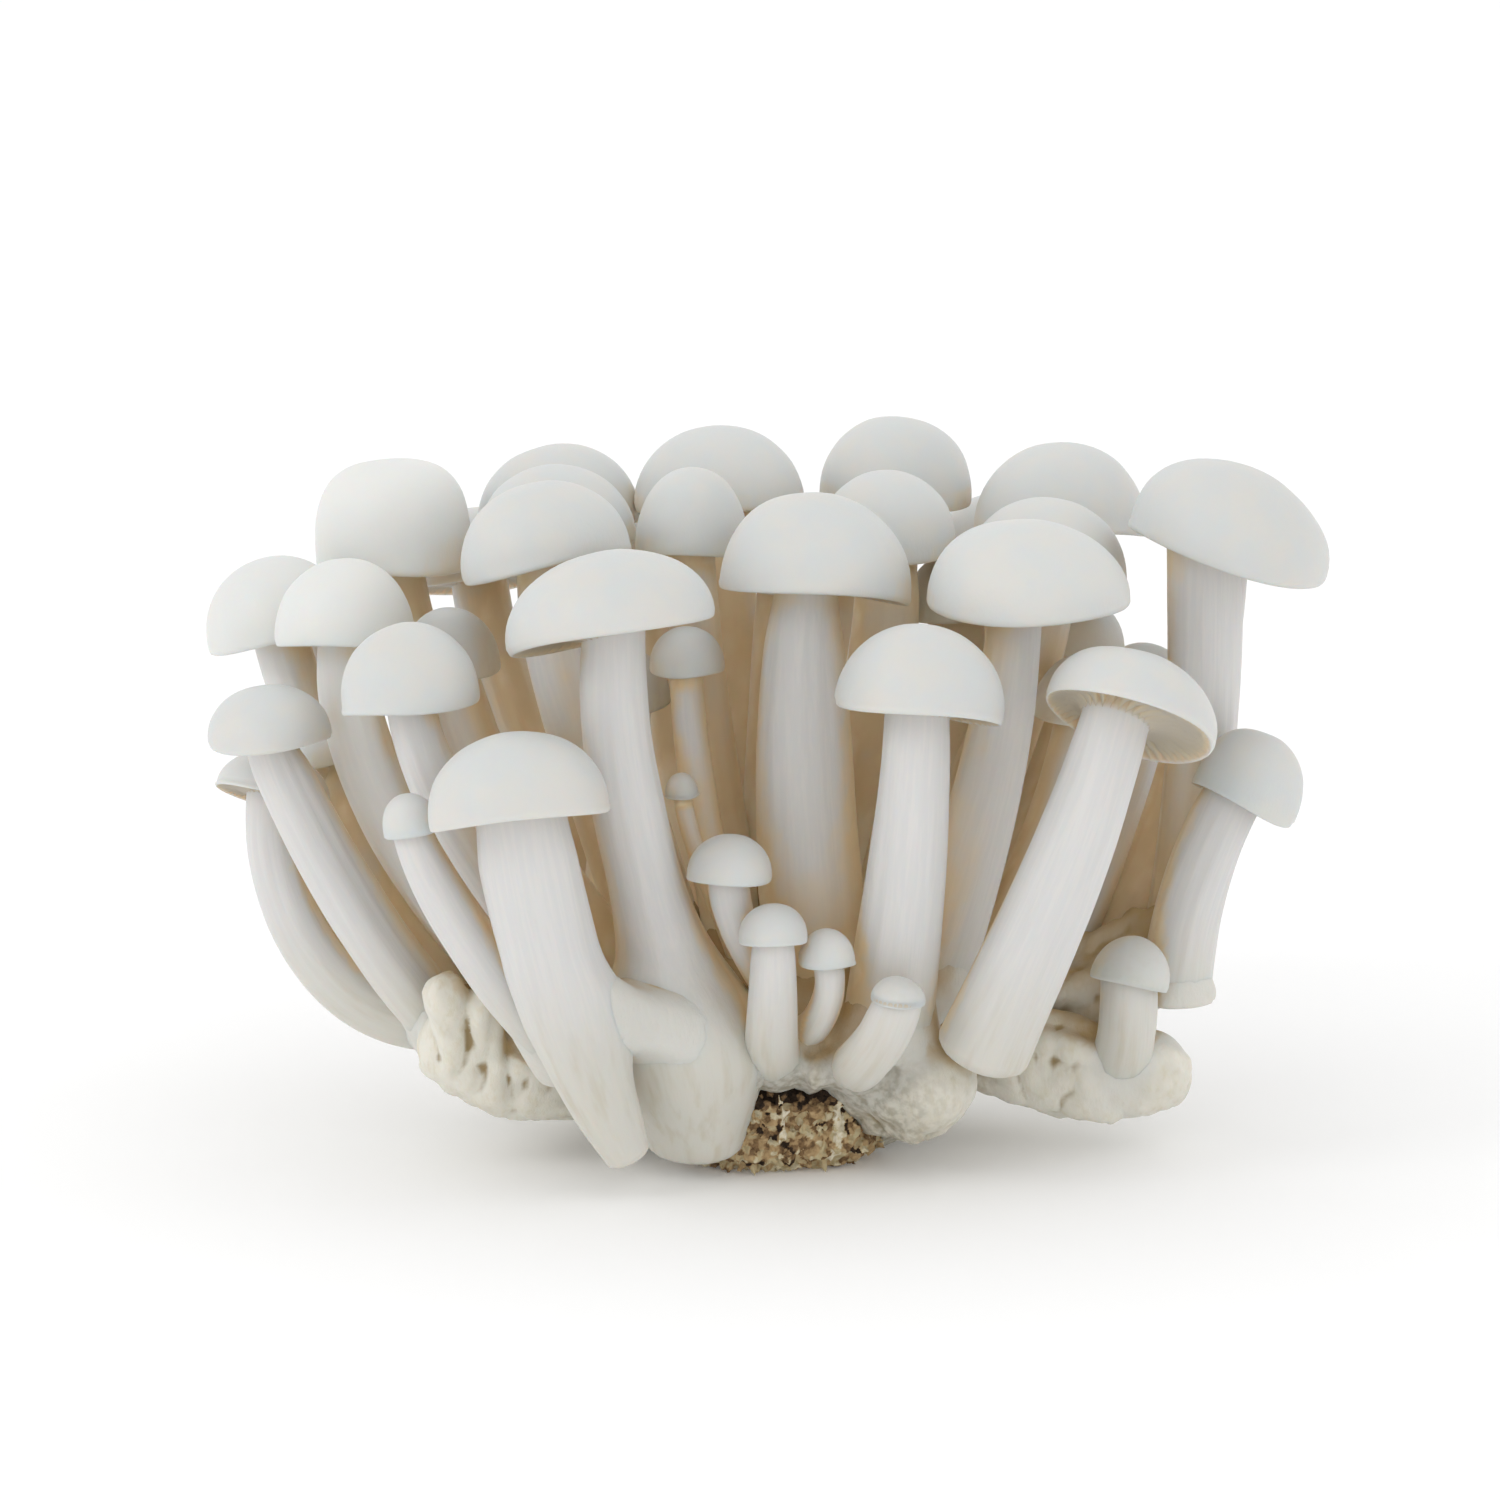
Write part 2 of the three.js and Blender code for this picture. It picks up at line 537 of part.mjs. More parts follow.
function moreButtons() {
  const { count, sector, outwards, upwards, levelRadius } = MORE_BUTTONS;
  const draw = seeded(7);
  return Array.from({ length: count }, (_, i) => {
    const angle = mix(...sector, (i + mix(0.2, 0.8, draw())) / count);
    const height = mix(...MORE_BUTTONS.height, draw());
    const length = mix(...MORE_BUTTONS.length, draw());
    const away = new THREE.Vector3(Math.cos(angle), Math.sin(angle), 0);
    const root = away.clone().multiplyScalar(baseReach(angle, height, levelRadius)).setZ(height);
    const growth = away.multiplyScalar(outwards * length).setZ(upwards * length);
    return { root, growth, radius: mix(...MORE_BUTTONS.radius, draw()) };
  });
}

// ---------- growing medium ----------

function mediumPlug(grow = 0) {
  const at = (height) => new THREE.Vector3(...MEDIUM_MIDDLE, height);
  const uneven = (angle) => 1 + 0.04 * Math.cos(3 * angle + 1) + 0.03 * Math.cos(7 * angle);
  const skin = new Skin(at(-grow));
  for (const [height, radius] of MEDIUM_LEVELS) {
    const level = at(height + (height ? grow : -grow));
    skin.ring(level, AXES, MEDIUM_SIDES, (angle) => radius * uneven(angle) + grow);
  }
  return skin.close(at(MEDIUM_LEVELS.at(-1)[0] + grow));
}

// Chips of sawdust and bran, half sunk in the side of the plug that shows.
function crumbs() {
  const draw = seeded(11);
  return Array.from({ length: CRUMBS.count }, () => {
    const size = mix(...CRUMBS.size, draw());
    const angle = NOTCH.facing + mix(...CRUMBS.turn, draw());
    const reach = mix(...CRUMBS.reach, draw());
    const chip = new THREE.OctahedronGeometry(size)
      .scale(1, mix(0.5, 0.8, draw()), mix(0.6, 1, draw()))
      .rotateX(Math.PI * draw())
      .rotateZ(Math.PI * draw())
      .translate(
        MEDIUM_MIDDLE[0] + reach * Math.cos(angle),
        MEDIUM_MIDDLE[1] + reach * Math.sin(angle),
        mix(...CRUMBS.height, draw()),
      );
    return asSolid(chip);
  });
}

// ---------- the cluster ----------

const cluster = new THREE.Group();
const MATERIALS = {
  mushroom: new THREE.MeshStandardMaterial({ color: "#e9e6df", roughness: 0.45 }),
  base: new THREE.MeshStandardMaterial({ color: "#d8d0bf", roughness: 0.7 }),
  medium: new THREE.MeshStandardMaterial({ color: "#7a6243", roughness: 0.95 }),
};

function addPiece(name, solid, material) {
  const mesh = new THREE.Mesh(asGeometry(largest(solid)), material);
  mesh.name = name;
  cluster.add(mesh);
}

// Where two mushrooms press together, the later one is dented.
const grown = MUSHROOMS.map((shape, i) => mushroom(shape, i, GAP));
MUSHROOMS.forEach((shape, i) => {
  const name = `mushroom_${String(i + 1).padStart(2, "0")}`;
  addPiece(name, clearOf(mushroom(shape, i), grown.slice(0, i)), MATERIALS.mushroom);
});

const ground = asSolid(new THREE.BoxGeometry(200, 200, 40).translate(0, 0, -20));
const lobes = LOBES.map((shape) => lobe(shape));
const buttons = [...BUTTONS, ...moreButtons()].map(button);
const base = joined([baseBlock(), ...lobes, ...buttons]);
addPiece("base", clearOf(base, [mediumPlug(GAP), ground, ...grown]), MATERIALS.base);

const roundMedium = [baseBlock(GAP), ...LOBES.map((shape) => lobe(shape, GAP)), ground];
const medium = joined([mediumPlug(), clearOf(joined(crumbs()), roundMedium)]);
addPiece("growing_medium", clearOf(medium, grown), MATERIALS.medium);

export default cluster;
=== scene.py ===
"""The looks of a cluster of white beech mushrooms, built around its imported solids.

Every size is in millimetres in the frame of the solids, and becomes metres when a mesh is made. Only the
floor and the lights are in metres. Each mushroom is one closed skin: a fibrous stem, a domed cap with a
rolled margin, and thin gills, every second one short. The base and the growing medium are joined from rough
shapes, and their surface is worked afterwards.
"""

from math import atan2, cos, exp, pi, radians, sin, sqrt

import bpy
import numpy as np
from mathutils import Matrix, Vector, noise
from mathutils.bvhtree import BVHTree
from mathutils.kdtree import KDTree


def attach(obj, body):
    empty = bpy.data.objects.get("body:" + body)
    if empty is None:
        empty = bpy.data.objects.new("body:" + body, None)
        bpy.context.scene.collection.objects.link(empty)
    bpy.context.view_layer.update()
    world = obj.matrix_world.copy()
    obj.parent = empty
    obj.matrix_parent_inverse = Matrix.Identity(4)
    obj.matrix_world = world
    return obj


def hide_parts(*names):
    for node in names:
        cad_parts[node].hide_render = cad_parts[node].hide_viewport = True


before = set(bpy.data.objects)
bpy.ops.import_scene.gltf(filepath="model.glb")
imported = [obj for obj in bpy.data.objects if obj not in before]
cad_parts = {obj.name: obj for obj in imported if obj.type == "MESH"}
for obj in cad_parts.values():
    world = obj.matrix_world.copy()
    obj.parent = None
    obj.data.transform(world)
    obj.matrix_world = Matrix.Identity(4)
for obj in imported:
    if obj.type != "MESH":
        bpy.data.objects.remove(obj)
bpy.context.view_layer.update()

MM = 0.001
BODY = "root"

# ---------- the mushrooms: the same named values as the solids ----------

# One row a mushroom: the middle of the cap's margin; the cap's radius and height; how far the cap's axis
# goes in x and y for each unit of rise; the stem's radius at the foot, in the middle and at the top; the
# stem's foot and the two handles of its curve, which ends under the cap.
ROWS = (
    # 1 to 6: the front row
    (-14.5, -24, 55.2, 10.3, 8.2, -0.2, 0.17, 3.9, 3.9, 3.1, -6.8, -14, 3.6, -7.2, -14.5, 20, -15.8, -23, 38),
    (-23, -34, 39.5, 8.5, 8.2, -0.12, 0.12, 2.3, 5.4, 4.3, -13.4, -23.8, 4.6, -18.2, -25, 15, -21, -32, 26),
    (14.4, -26, 48, 7.9, 8.6, 0.13, 0.15, 4.3, 4.1, 3.1, 12, -14.5, 14, 13, -19, 25, 14, -25.5, 36),
    (34.8, -24, 46.6, 8.7, 6.9, 0.36, 0.5, 4.8, 4.2, 3.3, 21.2, -19.5, 14.2, 24, -21, 21, 30.3, -26.5, 35.5),
    (-33.9, -22, 47.8, 6.5, 8.4, -0.12, 0.1, 3.4, 3, 2.4, -17, -12, 14, -21, -15, 24, -32, -22, 36),
    (-33.5, -30, 37.5, 2.8, 3.6, -0.2, -0.1, 3.2, 2.9, 1.9, -19, -18, 13, -24.5, -24, 19.5, -31.5, -29.5, 31),
    # 7 to 9: tall ones behind it
    (5, -10, 57.2, 9.6, 9.8, 0.1, 0.12, 4.6, 5.9, 3.1, 5.5, -7.5, 17, 4.4, -10.5, 28, 3.2, -10.5, 44),
    (25.4, -14, 56.6, 9.6, 8.4, 0, -0.05, 3.8, 3.5, 2.6, 15.5, -8, 16, 19.5, -10.5, 28, 24, -13.5, 44),
    (45.5, -2, 59.7, 10.4, 9.4, 0.28, 0, 3.5, 3.5, 3.8, 41, 6, 16, 44, 8, 28, 44.4, 2.5, 42),
    # 10 to 13: the left side
    (-41.3, -6, 52, 6.7, 8.2, -0.05, 0.03, 3.6, 3.3, 2.8, -21, -4, 14, -32, -5, 24, -42, -6, 38),
    (-48.8, 6, 50.6, 7.4, 8, -0.2, 0, 3.4, 3.2, 2.8, -24, 4, 12.5, -35, 5, 20, -45.5, 6, 36),
    (-48.3, -14, 43.2, 6.1, 5.6, -0.05, 0, 3.2, 3.2, 2.5, -31, -6, 12.5, -38.5, -8.5, 20, -45.5, -12.5, 36),
    (-49.1, -3, 35.6, 5.6, 4.6, 0.2, 0.35, 3, 3, 2.6, -30.5, -1, 12.6, -42.5, -2, 11.2, -50, -4, 24.5),
    # 14 to 17: young ones at the foot
    (-3.6, -22, 31.3, 4.2, 4.3, 0, 0, 1.6, 1.9, 2, 1.5, -12, 16, -0.5, -17, 21, -3.5, -22, 27),
    (0.7, -26, 26, 3.3, 3.6, 0, 0, 2.8, 2.5, 2, 1, -14.5, 12, 0.3, -21, 13, 0.8, -26, 20.5),
    (6, -24, 23.3, 2.7, 3.4, 0, 0, 1.7, 1.6, 1.5, 4.2, -13.5, 14.5, 4, -20, 15.5, 7, -24, 19),
    (12.6, -27, 20.2, 2.7, 2.5, 0.1, 0, 2.6, 2.7, 2.4, 9.3, -15.5, 11.5, 8.2, -21.5, 12.3, 11, -26.5, 15),
    # 18 to 19: the right side
    (47.3, -5, 35.3, 5.3, 7.6, 0.45, 0.1, 3.4, 3.3, 3, 41.3, -1.5, 15, 41.3, -2.5, 22, 43, -4.5, 29),
    (36.1, -8.2, 18.1, 3.9, 4.6, 0.2, 0.05, 3, 3, 2.9, 35.4, -3.5, 8.5, 36, -6, 10.5, 36.1, -8.2, 14),
    # 20 to 31: the crown
    (-21.5, -6, 59.3, 8.6, 8.4, -0.2, 0.12, 4.2, 3.8, 3, -10.5, -3, 18, -13, -4, 31, -20.5, -6, 46),
    (-21, 24, 58.8, 8.3, 9, -0.08, 0.1, 3.8, 3.5, 2.9, -9.5, 12.5, 15.5, -13, 16, 30, -20, 23, 45),
    (-37.9, 17, 56, 8.2, 11, -0.03, 0.05, 3.8, 3.5, 3, -19, 10.5, 13, -26, 13, 27, -36.5, 16, 42),
    (-7.4, 4, 59.5, 5.6, 8.4, 0, 0, 3, 2.8, 2.4, -3, 1, 18.5, -4, 2, 31, -7.4, 4, 46),
    (-4.5, 21, 61.4, 8.6, 8.8, 0, 0.08, 4.2, 4.2, 3.2, -1.5, 10.5, 17.5, -3, 13.5, 31, -4.5, 20, 48),
    (12.2, 8, 58.6, 7.2, 8.6, 0.03, 0, 3.8, 3.8, 3, 5.5, 4, 18.5, 8, 5.5, 31, 13, 8, 46),
    (13.5, 26, 61.2, 7.7, 9.4, 0.03, 0.08, 3.6, 3.4, 2.8, 7.5, 13, 16.5, 9, 17, 31, 13, 25, 48),
    (28.2, 4, 56.4, 8.2, 8.4, 0.05, 0, 4, 4, 3, 14, 1, 17, 18.5, 2.5, 29, 26.5, 4, 44),
    (30.5, 22, 58.8, 9, 9.5, 0, 0.08, 4.2, 4.2, 3.2, 16, 10.5, 15.5, 21.5, 14, 29, 29.5, 21, 46),
    (-7.8, -5, 48.7, 3.6, 4.6, 0, 0, 1.9, 1.8, 1.7, -3.5, -6, 18.5, -5, -6, 28, -7.8, -5, 40),
    (-8.1, -12, 37.5, 1.8, 2.4, -0.1, 0, 1, 0.9, 0.9, -2, -9.5, 18, -3.5, -10, 24, -7.5, -12, 32),
    (-21, 9, 59.2, 7.8, 8.4, -0.08, 0.03, 3.8, 3.5, 2.9, -10.5, 5.5, 17, -13, 6.5, 31, -20.5, 9, 46),
    # 32 to 41: shorter ones between the rows, under the taller caps
    (15, -5, 45, 5, 6.2, 0.05, 0, 3.3, 3.1, 2.7, 10.5, -3.5, 18, 12, -4, 26, 15, -5, 36),
    (31.5, -4, 44, 5.2, 6.4, 0.1, 0, 3.6, 3.3, 2.8, 21, -2.5, 14.5, 25, -3, 23, 30.5, -4, 34),
    (-24, -14, 38, 5, 6, -0.15, 0, 3.6, 3.2, 2.6, -12, -8.5, 16.5, -16, -10.5, 22, -23, -13.5, 30),
    (-31.3, 3, 47.3, 5, 6.6, -0.1, 0, 3.5, 3.2, 2.6, -17.5, 2.5, 16, -21.5, 2.5, 24, -29, 3, 36),
    (38.5, 13, 43, 5, 5.8, 0.15, 0, 3.9, 3.7, 3, 27.5, 7, 14.5, 31.5, 8, 23, 36.5, 12, 34),
    (19.5, 13, 51.3, 5.2, 7, 0.05, 0.05, 3.6, 3.5, 2.9, 19.5, 4.5, 16, 20, 7, 27, 19.5, 12, 40),
    (-14, 2, 44, 4.8, 6, -0.05, 0, 3, 2.9, 2.5, -17, -3.5, 16.5, -15.5, -1, 25, -14, 1.5, 35),
    (1.8, 8, 55, 4.2, 5.2, 0, 0, 3.2, 3, 2.6, 1, 5.5, 18.5, 0.4, 6, 30, 1.2, 8, 44),
    (31.5, 12, 48, 5, 6, 0.1, 0, 3.6, 3.4, 2.8, 20.5, 7, 15.5, 25, 8.5, 26, 31, 11.5, 38),
    (-42.5, 5, 38.5, 4.6, 5.4, -0.2, 0, 3.3, 3.2, 2.5, -25.5, 1, 12, -35.5, 1, 15, -43, 3, 28),
    # 42 to 50: the back
    (-30, 33, 52, 8.2, 8, -0.15, 0.25, 3.9, 3.6, 3, -14.5, 16, 12, -19, 21, 25, -28, 30, 38),
    (-11, 39.5, 53, 8.6, 8.5, -0.05, 0.25, 4, 3.7, 3, -5, 19, 12, -7, 25, 23, -10.5, 36, 38),
    (8, 43, 50, 7.5, 7.6, 0.05, 0.25, 3.8, 3.4, 2.8, 3.6, 20, 11.5, 4.5, 27.5, 21, 7.5, 40, 36),
    (26, 39, 53, 8.2, 8, 0.12, 0.2, 3.9, 3.6, 3, 12, 18, 12, 16.5, 25, 23, 25, 36, 38),
    (48, 20, 55.5, 6.8, 6.5, 0.1, 0.1, 3.4, 3.6, 2.8, 29, 8.5, 12, 41, 13, 20, 45.5, 18, 40),
    (-46, 22, 47.5, 6.5, 7, -0.2, 0.15, 3.3, 3, 2.6, -23.5, 11, 10.5, -34, 15, 20, -44, 20, 34),
    (-1.5, 34.5, 29, 3.9, 4.4, 0, 0.2, 2.4, 2.2, 1.9, -1, 20, 8, -1, 25, 11, -1.5, 33, 20),
    (34, 30, 27, 4.2, 4.6, 0.15, 0.15, 2.4, 2.2, 1.9, 17.5, 15, 8, 23, 19, 10, 33, 28.5, 18),
    (-28.5, 25.5, 24, 3.4, 4, -0.15, 0.2, 2.1, 1.9, 1.6, -18.5, 13.5, 8, -21.5, 18, 9, -28, 24.5, 16),
)
ROW_ENDS = (3, 5, 7, 10, 13, 16)  # where a row's parts end
# What some mushrooms have beyond that, by their number.
SWELL = {1: 4.1}  # how much fatter the stem is just over the foot
BARE = (1, 2, 4)  # the foot shows, and is rounded
ASIDE = {4: -1.5, 7: -1, 8: -1.2, 9: -2.2, 18: -1.2, 46: -1}  # how far beside the cap's middle the stem ends
FULL = {18: 2.4, 22: 3}  # the dome's power, where it isn't FULLNESS
FULLNESS = 2.08  # at 2 a dome is an ellipse, and a cap is a little fuller
# Painted light: these caps are painted paler, as if more light fell on them.
PAINTED_LIGHT_PALER = {8: 0.1, 10: 0.45, 11: 0.4, 22: 0.55}  # how much paler than most it is


def grown(number, row):
    """A mushroom's values by their names."""
    cap, size, lean, girth, *stem = np.split(np.array(row, float), ROW_ENDS)
    return dict(
        cap=cap, size=size, lean=lean, girth=girth, stem=stem, swell=SWELL.get(number, 0),
        bare=number in BARE, aside=ASIDE.get(number, 0), full=FULL.get(number, FULLNESS),
        pale=PAINTED_LIGHT_PALER.get(number, 0),
    )


MUSHROOMS = [grown(number, row) for number, row in enumerate(ROWS, 1)]
FRONT_FEET = (0, 1)  # the two that a web joins, as places in the list
SMALL_CAP = 5.2  # the largest radius of a small cap
SWELL_PLACE = 0.19  # where a foot is swollen, in shares of the stem's length
SWELL_SPREAD = 0.17

# How finely a mushroom is made. Each gill takes GILL_COLUMNS columns, and every ring's count is a whole
# multiple or fraction of the next one's. The gills start at gill_start, in shares of the way to the margin.
DETAILS = ("stem_sides", "stem_steps", "gills", "gill_rows", "gill_start", "dome_sides", "dome_steps")
LARGE = dict(zip(DETAILS, (56, 44, 56, 10, 0.03, 112, 17)))
SMALL = dict(zip(DETAILS, (32, 26, 32, 7, 0.03, 64, 11)))
COARSE = dict(zip(DETAILS, (12, 12, 0, 3, 0.1, 24, 5)))

# Across one gill: each column's place, in shares of the gill's spacing, and how deep the surface is there.
GILL_COLUMNS = ((0, 0), (0.13, 0.8), (0.3, 1), (0.5, 1), (0.7, 1), (0.87, 0.8))
GILL_DEPTH = 0.2  # in shares of the cap's height
GILL_END = 0.9
SHORT_GILL_START = (0.3, 0.55)  # short gills rise over this way
GILL_JITTER = 0.3  # how unevenly gills stand, in shares of their spacing
GILL_SEED = 100
UNDERSIDE_ARCH = 0.07  # how far the gills' edges rise between stem and margin, in shares of the cap's height

MARGIN_START = 0.95  # the rolled margin starts here and is widest at MARGIN_RISE
MARGIN_RISE = 0.09
DOME_ASIDE = 1.75  # how far the dome's rings shift towards a stem that isn't in the middle

# A cap's unevenness: of its outline and its margin's level in shares of its size, of its dome in millimetres.
PHASE = 2.4  # how far the unevenness of one mushroom is turned from the last one's
WAVER = (0.03, 0.02)
DROOP = 0.04
DENTS, DENTS_APART = 0.22, 7
FINE_DENTS, FINE_DENTS_APART = 0.05, 2.6
HEART = 0.2  # the height in the cap that its dome is dented towards, in shares of the cap's

# Where a stem starts to turn square to its cap, and its unevenness to fade, in shares of the way up.
SQUARE_FROM, EVEN_FROM = 0.82, 0.88
BLUNT = 0.45  # how far a bare foot is rounded, in shares of its radius
FOOT_CROWDING = 1.25  # the power by which the rings over a bare foot stand closer
# A stem's unevenness in shares of its radius, and its ribs in millimetres where that is FULL_RIBS or more.
OVAL, THREE_SIDED, KNOTS = 0.03, 0.018, 0.03
KNOTS_APART = 0.13  # in knots for each millimetre
RIBS = (0.045, 0.03, 0.02)
FULL_RIBS = 3

GRAIN_ALONG = 0.12  # how much slower the material's grain runs along a stem than across it
GRAIN_APART = 10  # how far apart the grain of two mushrooms lies

# ---------- the base and the growing medium ----------

# The heights and radii of the block, its lobes, its buttons and the plug of medium are the solids' own.
BASE_LEVELS = ((0, 11.5), (2, 15.5), (6, 21.5), (11.5, 25), (19.5, 14))
BASE_WIDEST = 11.5
BASE_LEFTWARD = 0.04
BASE_FRONT = 0.3
BASE_SHIFT = 0.2
BASE_TOP = 2
BASE_ROUND = 4
NOTCH = dict(facing=-1.36, half=0.38, depth=0.42, start=7, end=11.5)

KNOTTED_LOBES = (
    dict(points=((-15, -6, 9.5), (-22, -9, 8), (-29, -11, 8.5), (-31.3, -11, 13)), girth=(5, 3.3)),
    dict(points=((-14, 0, 10), (-22, -2, 9.5), (-28, -3, 9.5), (-32, -3.8, 12)), girth=(6, 3.8)),
    dict(points=((15, 2, 12), (23, -1, 13), (27, -2.5, 5.2), (38.8, -3, 7.8)), girth=(4.6, 4.4)),
    dict(points=((15, 5, 13), (25, 5, 11.5), (35, 4, 12), (41, 3.5, 19.5)), girth=(4.6, 4.2)),
    dict(points=((8, -6, 10), (11, -10, 9.8), (14, -13, 9.5), (16.3, -15.5, 9.2)), girth=(6, 4.8)),
)
# The web between the two front feet: its lowest and highest levels in shares of the way along each, how far
# it stays under their skins, its rings, and how sharply it closes at its edges.
WEB = dict(low=(0.15, 0.39), high=(0.29, 0.6), sunk=(0.75, 0.5), rings=(0.12, 0.88, 15), edge=1.35)
BUTTONS = (
    dict(root=(-30.5, -12.5, 10.5), growth=(-1.2, -2.5, 9.5), radius=2.1),
    dict(root=(-26.8, -12.5, 9), growth=(-1.2, -2.2, 9.5), radius=1.8),
)
MORE_BUTTONS = dict(
    count=6, sector=(0, 3.3), height=(5, 11), length=(5, 8), outwards=0.9, upwards=0.8,
    radius=(1.2, 1.9), level_radius=20,
)
# Young stems that lie fused along the lobes and up the sides of the base, and show as low ridges.
STRANDS = dict(to_a_lobe=6, aside=0.85, girth=0.34, length=(0.85, 1))
RIDGES = dict(count=30, foot=(2.5, 5), top=(11, 15), girth=(1.2, 2.1), sunk=0.45, drift=(-0.16, 0.16))
COARSE_ROD = dict(steps=12, sides=14)
THIRDS = (0, 1 / 3, 2 / 3, 1)
# The collars round the stems: how far up a stem they reach and how far behind a low foot they start, in
# shares of its length, and how much thicker than the foot they are at either end.
COLLAR = dict(reach=0.2, small_reach=0.24, behind=-0.2, over=(1.1, -0.5))
LOW_FOOT = 9  # feet under this height are low
BUTTON_SEED, RIDGE_SEED, STRAND_SEED = 7, 23, 61
BUTTON_REACH = 0.85  # how far up its growth a button's head has its middle
BUTTON_GIRTH = dict(stem=0.82, head=0.2, between=(0.55, 0.85))
BASE_LUMPS = (0.04, 0.03)

MEDIUM_MIDDLE = (0.8, -4.5)
MEDIUM_LEVELS = ((0, 9), (2.2, 11.3), (7.1, 11.3), (9.5, 9.6))
PLUG_SIDES = 64
PLUG_SUNK = 0.25  # how far the plug stays under its flakes
PLUG_CLEARANCE = 0.15
PLUG_WAVER = (0.04, 0.03)


# ---------- helpers ----------

def unit(vector):
    return vector / np.linalg.norm(vector)


def mix(a, b, share):
    return a + (b - a) * share


def ease(value, low, high):
    share = np.clip((value - low) / (high - low), 0, 1)
    return share * share * (3 - 2 * share)


def frame_of(axis, hint=(1, 0, 0)):
    """Three axes at right angles: the last along the axis, the first as near the hint as it can be."""
    up = unit(np.asarray(axis, float))
    hint = np.asarray(hint, float)
    across = unit(hint - up * up.dot(hint))
    return across, np.cross(up, across), up


def seeded(seed):
    """Draws from 0 to 1 by the minimal standard generator, as the solids' source does."""
    factor, modulus = 16807, 2147483647
    state = seed

    def draw():
        nonlocal state
        state = state * factor % modulus
        return state / modulus

    return draw


class Curve:
    """A cubic curve: its start, two handles and its end."""

    def __init__(self, points):
        self.points = np.array(points, float)

    def place(self, t):
        weights = np.array([(1 - t) ** 3, 3 * (1 - t) ** 2 * t, 3 * (1 - t) * t ** 2, t ** 3])
        return weights @ self.points

    def heading(self, t):
        weights = np.array([(1 - t) ** 2, 2 * (1 - t) * t, t ** 2])
        return unit(weights @ np.diff(self.points, axis=0))


def frames_along(headings, end):
    """A frame for each heading. The last is nearest the end's, and back from there they turn least."""
    frames = []
    hint = end[0]
    for heading in reversed(headings):
        frames.insert(0, frame_of(heading, hint))
        hint = frames[0][0]
    return frames


class Skin:
    """A closed surface of rings, from its bottom point up. A ring has as many points as the last, or a whole
    multiple or fraction of that. Each point has a place and a few marks for its material."""

    def __init__(self, bottom, marks=()):
        self.places = [np.atleast_2d(bottom)]
        self.marks = [np.atleast_2d(marks)]
        self.faces = []
        self.total = 1
        self.last = 1

    def ring(self, places, marks=None):
        places = np.atleast_2d(places)
        count = len(places)
        steps = max(self.last, count)
        step = np.arange(steps + 1)
        lower = self.total - self.last + np.floor(step * self.last / steps + 0.5).astype(int) % self.last
        upper = self.total + np.floor(step * count / steps + 0.5).astype(int) % count
        corners = np.column_stack([lower[:-1], lower[1:], upper[1:], upper[:-1]])
        for a, b, c, d in corners.tolist():
            self.faces.append([a] + [b] * (b != a) + [c] + [d] * (d != c))
        self.places.append(places)
        self.marks.append(np.zeros((count, self.marks[0].shape[1])) if marks is None else marks)
        self.total += count
        self.last = count
        return self

    def points(self):
        return np.vstack(self.places)


def circle(middle, axes, angles, reach, lift=0.0):
    """Points about a middle: at each angle as far out as reach says, and lifted along the last direction."""
    across, along, up = axes
    flat = np.outer(np.cos(angles) * reach, across) + np.outer(np.sin(angles) * reach, along)
    return middle + flat + np.outer(np.broadcast_to(lift, angles.shape), up)


def turns(count):
    return np.arange(count) * 2 * pi / count


# ---------- one mushroom ----------

MARKS = ("cap", "gill")  # a point's marks, before the three numbers of its place in the grain


def stem_girth(shape, t):
    low, middle, high = shape["girth"]
    plain = (1 - t) ** 2 * low + 2 * t * (1 - t) * middle + t ** 2 * high
    return plain + shape["swell"] * exp(-(((t - SWELL_PLACE) / SWELL_SPREAD) ** 2))


def stem_rings(skin, shape, curve, cap_axes, detail, phase):
    """The stem: an uneven round section with low ribs, which turns square to the cap at its top."""
    crowding = FOOT_CROWDING if shape["bare"] else 1
    stops = (np.arange(detail["stem_steps"] + 1) / detail["stem_steps"]) ** crowding
    square = ease(stops, SQUARE_FROM, 1)
    headings = [unit(mix(curve.heading(t), cap_axes[2], s)) for t, s in zip(stops, square)]
    frames = frames_along(headings, cap_axes)
    angles = turns(detail["stem_sides"])
    length = 0.0
    last = curve.place(0)
    for t, axes in zip(stops, frames):
        middle = curve.place(t)
        length += np.linalg.norm(middle - last)
        last = middle
        plain = stem_girth(shape, t)
        fade = 1 - ease(t, EVEN_FROM, 1)
        oval = OVAL * np.cos(2 * angles + phase + 2.2 * t)
        three_sided = THREE_SIDED * np.cos(3 * angles + 1.3 * phase - 3 * t)
        knots = KNOTS * noise.noise(Vector((KNOTS_APART * length, phase, 0)))
        ribs = (
            RIBS[0] * np.cos(5 * angles + 2 * phase + 1.5 * sin(5 * t + phase))
            + RIBS[1] * np.cos(12 * angles + phase - 3 * t)
            + RIBS[2] * np.cos(17 * angles + 3 * phase + 2 * t)
        )
        reach = plain * (1 + fade * (oval + three_sided + knots)) + fade * ribs * min(1, plain / FULL_RIBS)
        along = np.full_like(angles, GRAIN_ALONG * length)
        grain = np.column_stack([plain * np.cos(angles), plain * np.sin(angles), along])
        marks = np.column_stack([np.zeros((len(angles), 2)), grain + GRAIN_APART * phase])
        if t == 0 and shape["bare"]:
            for turn in np.linspace(0, pi / 2, 6)[1:-1]:
                back = middle - axes[2] * BLUNT * plain * cos(turn)
                skin.ring(circle(back, axes, angles, reach * sin(turn)), marks)
        skin.ring(circle(middle, axes, angles, reach), marks)


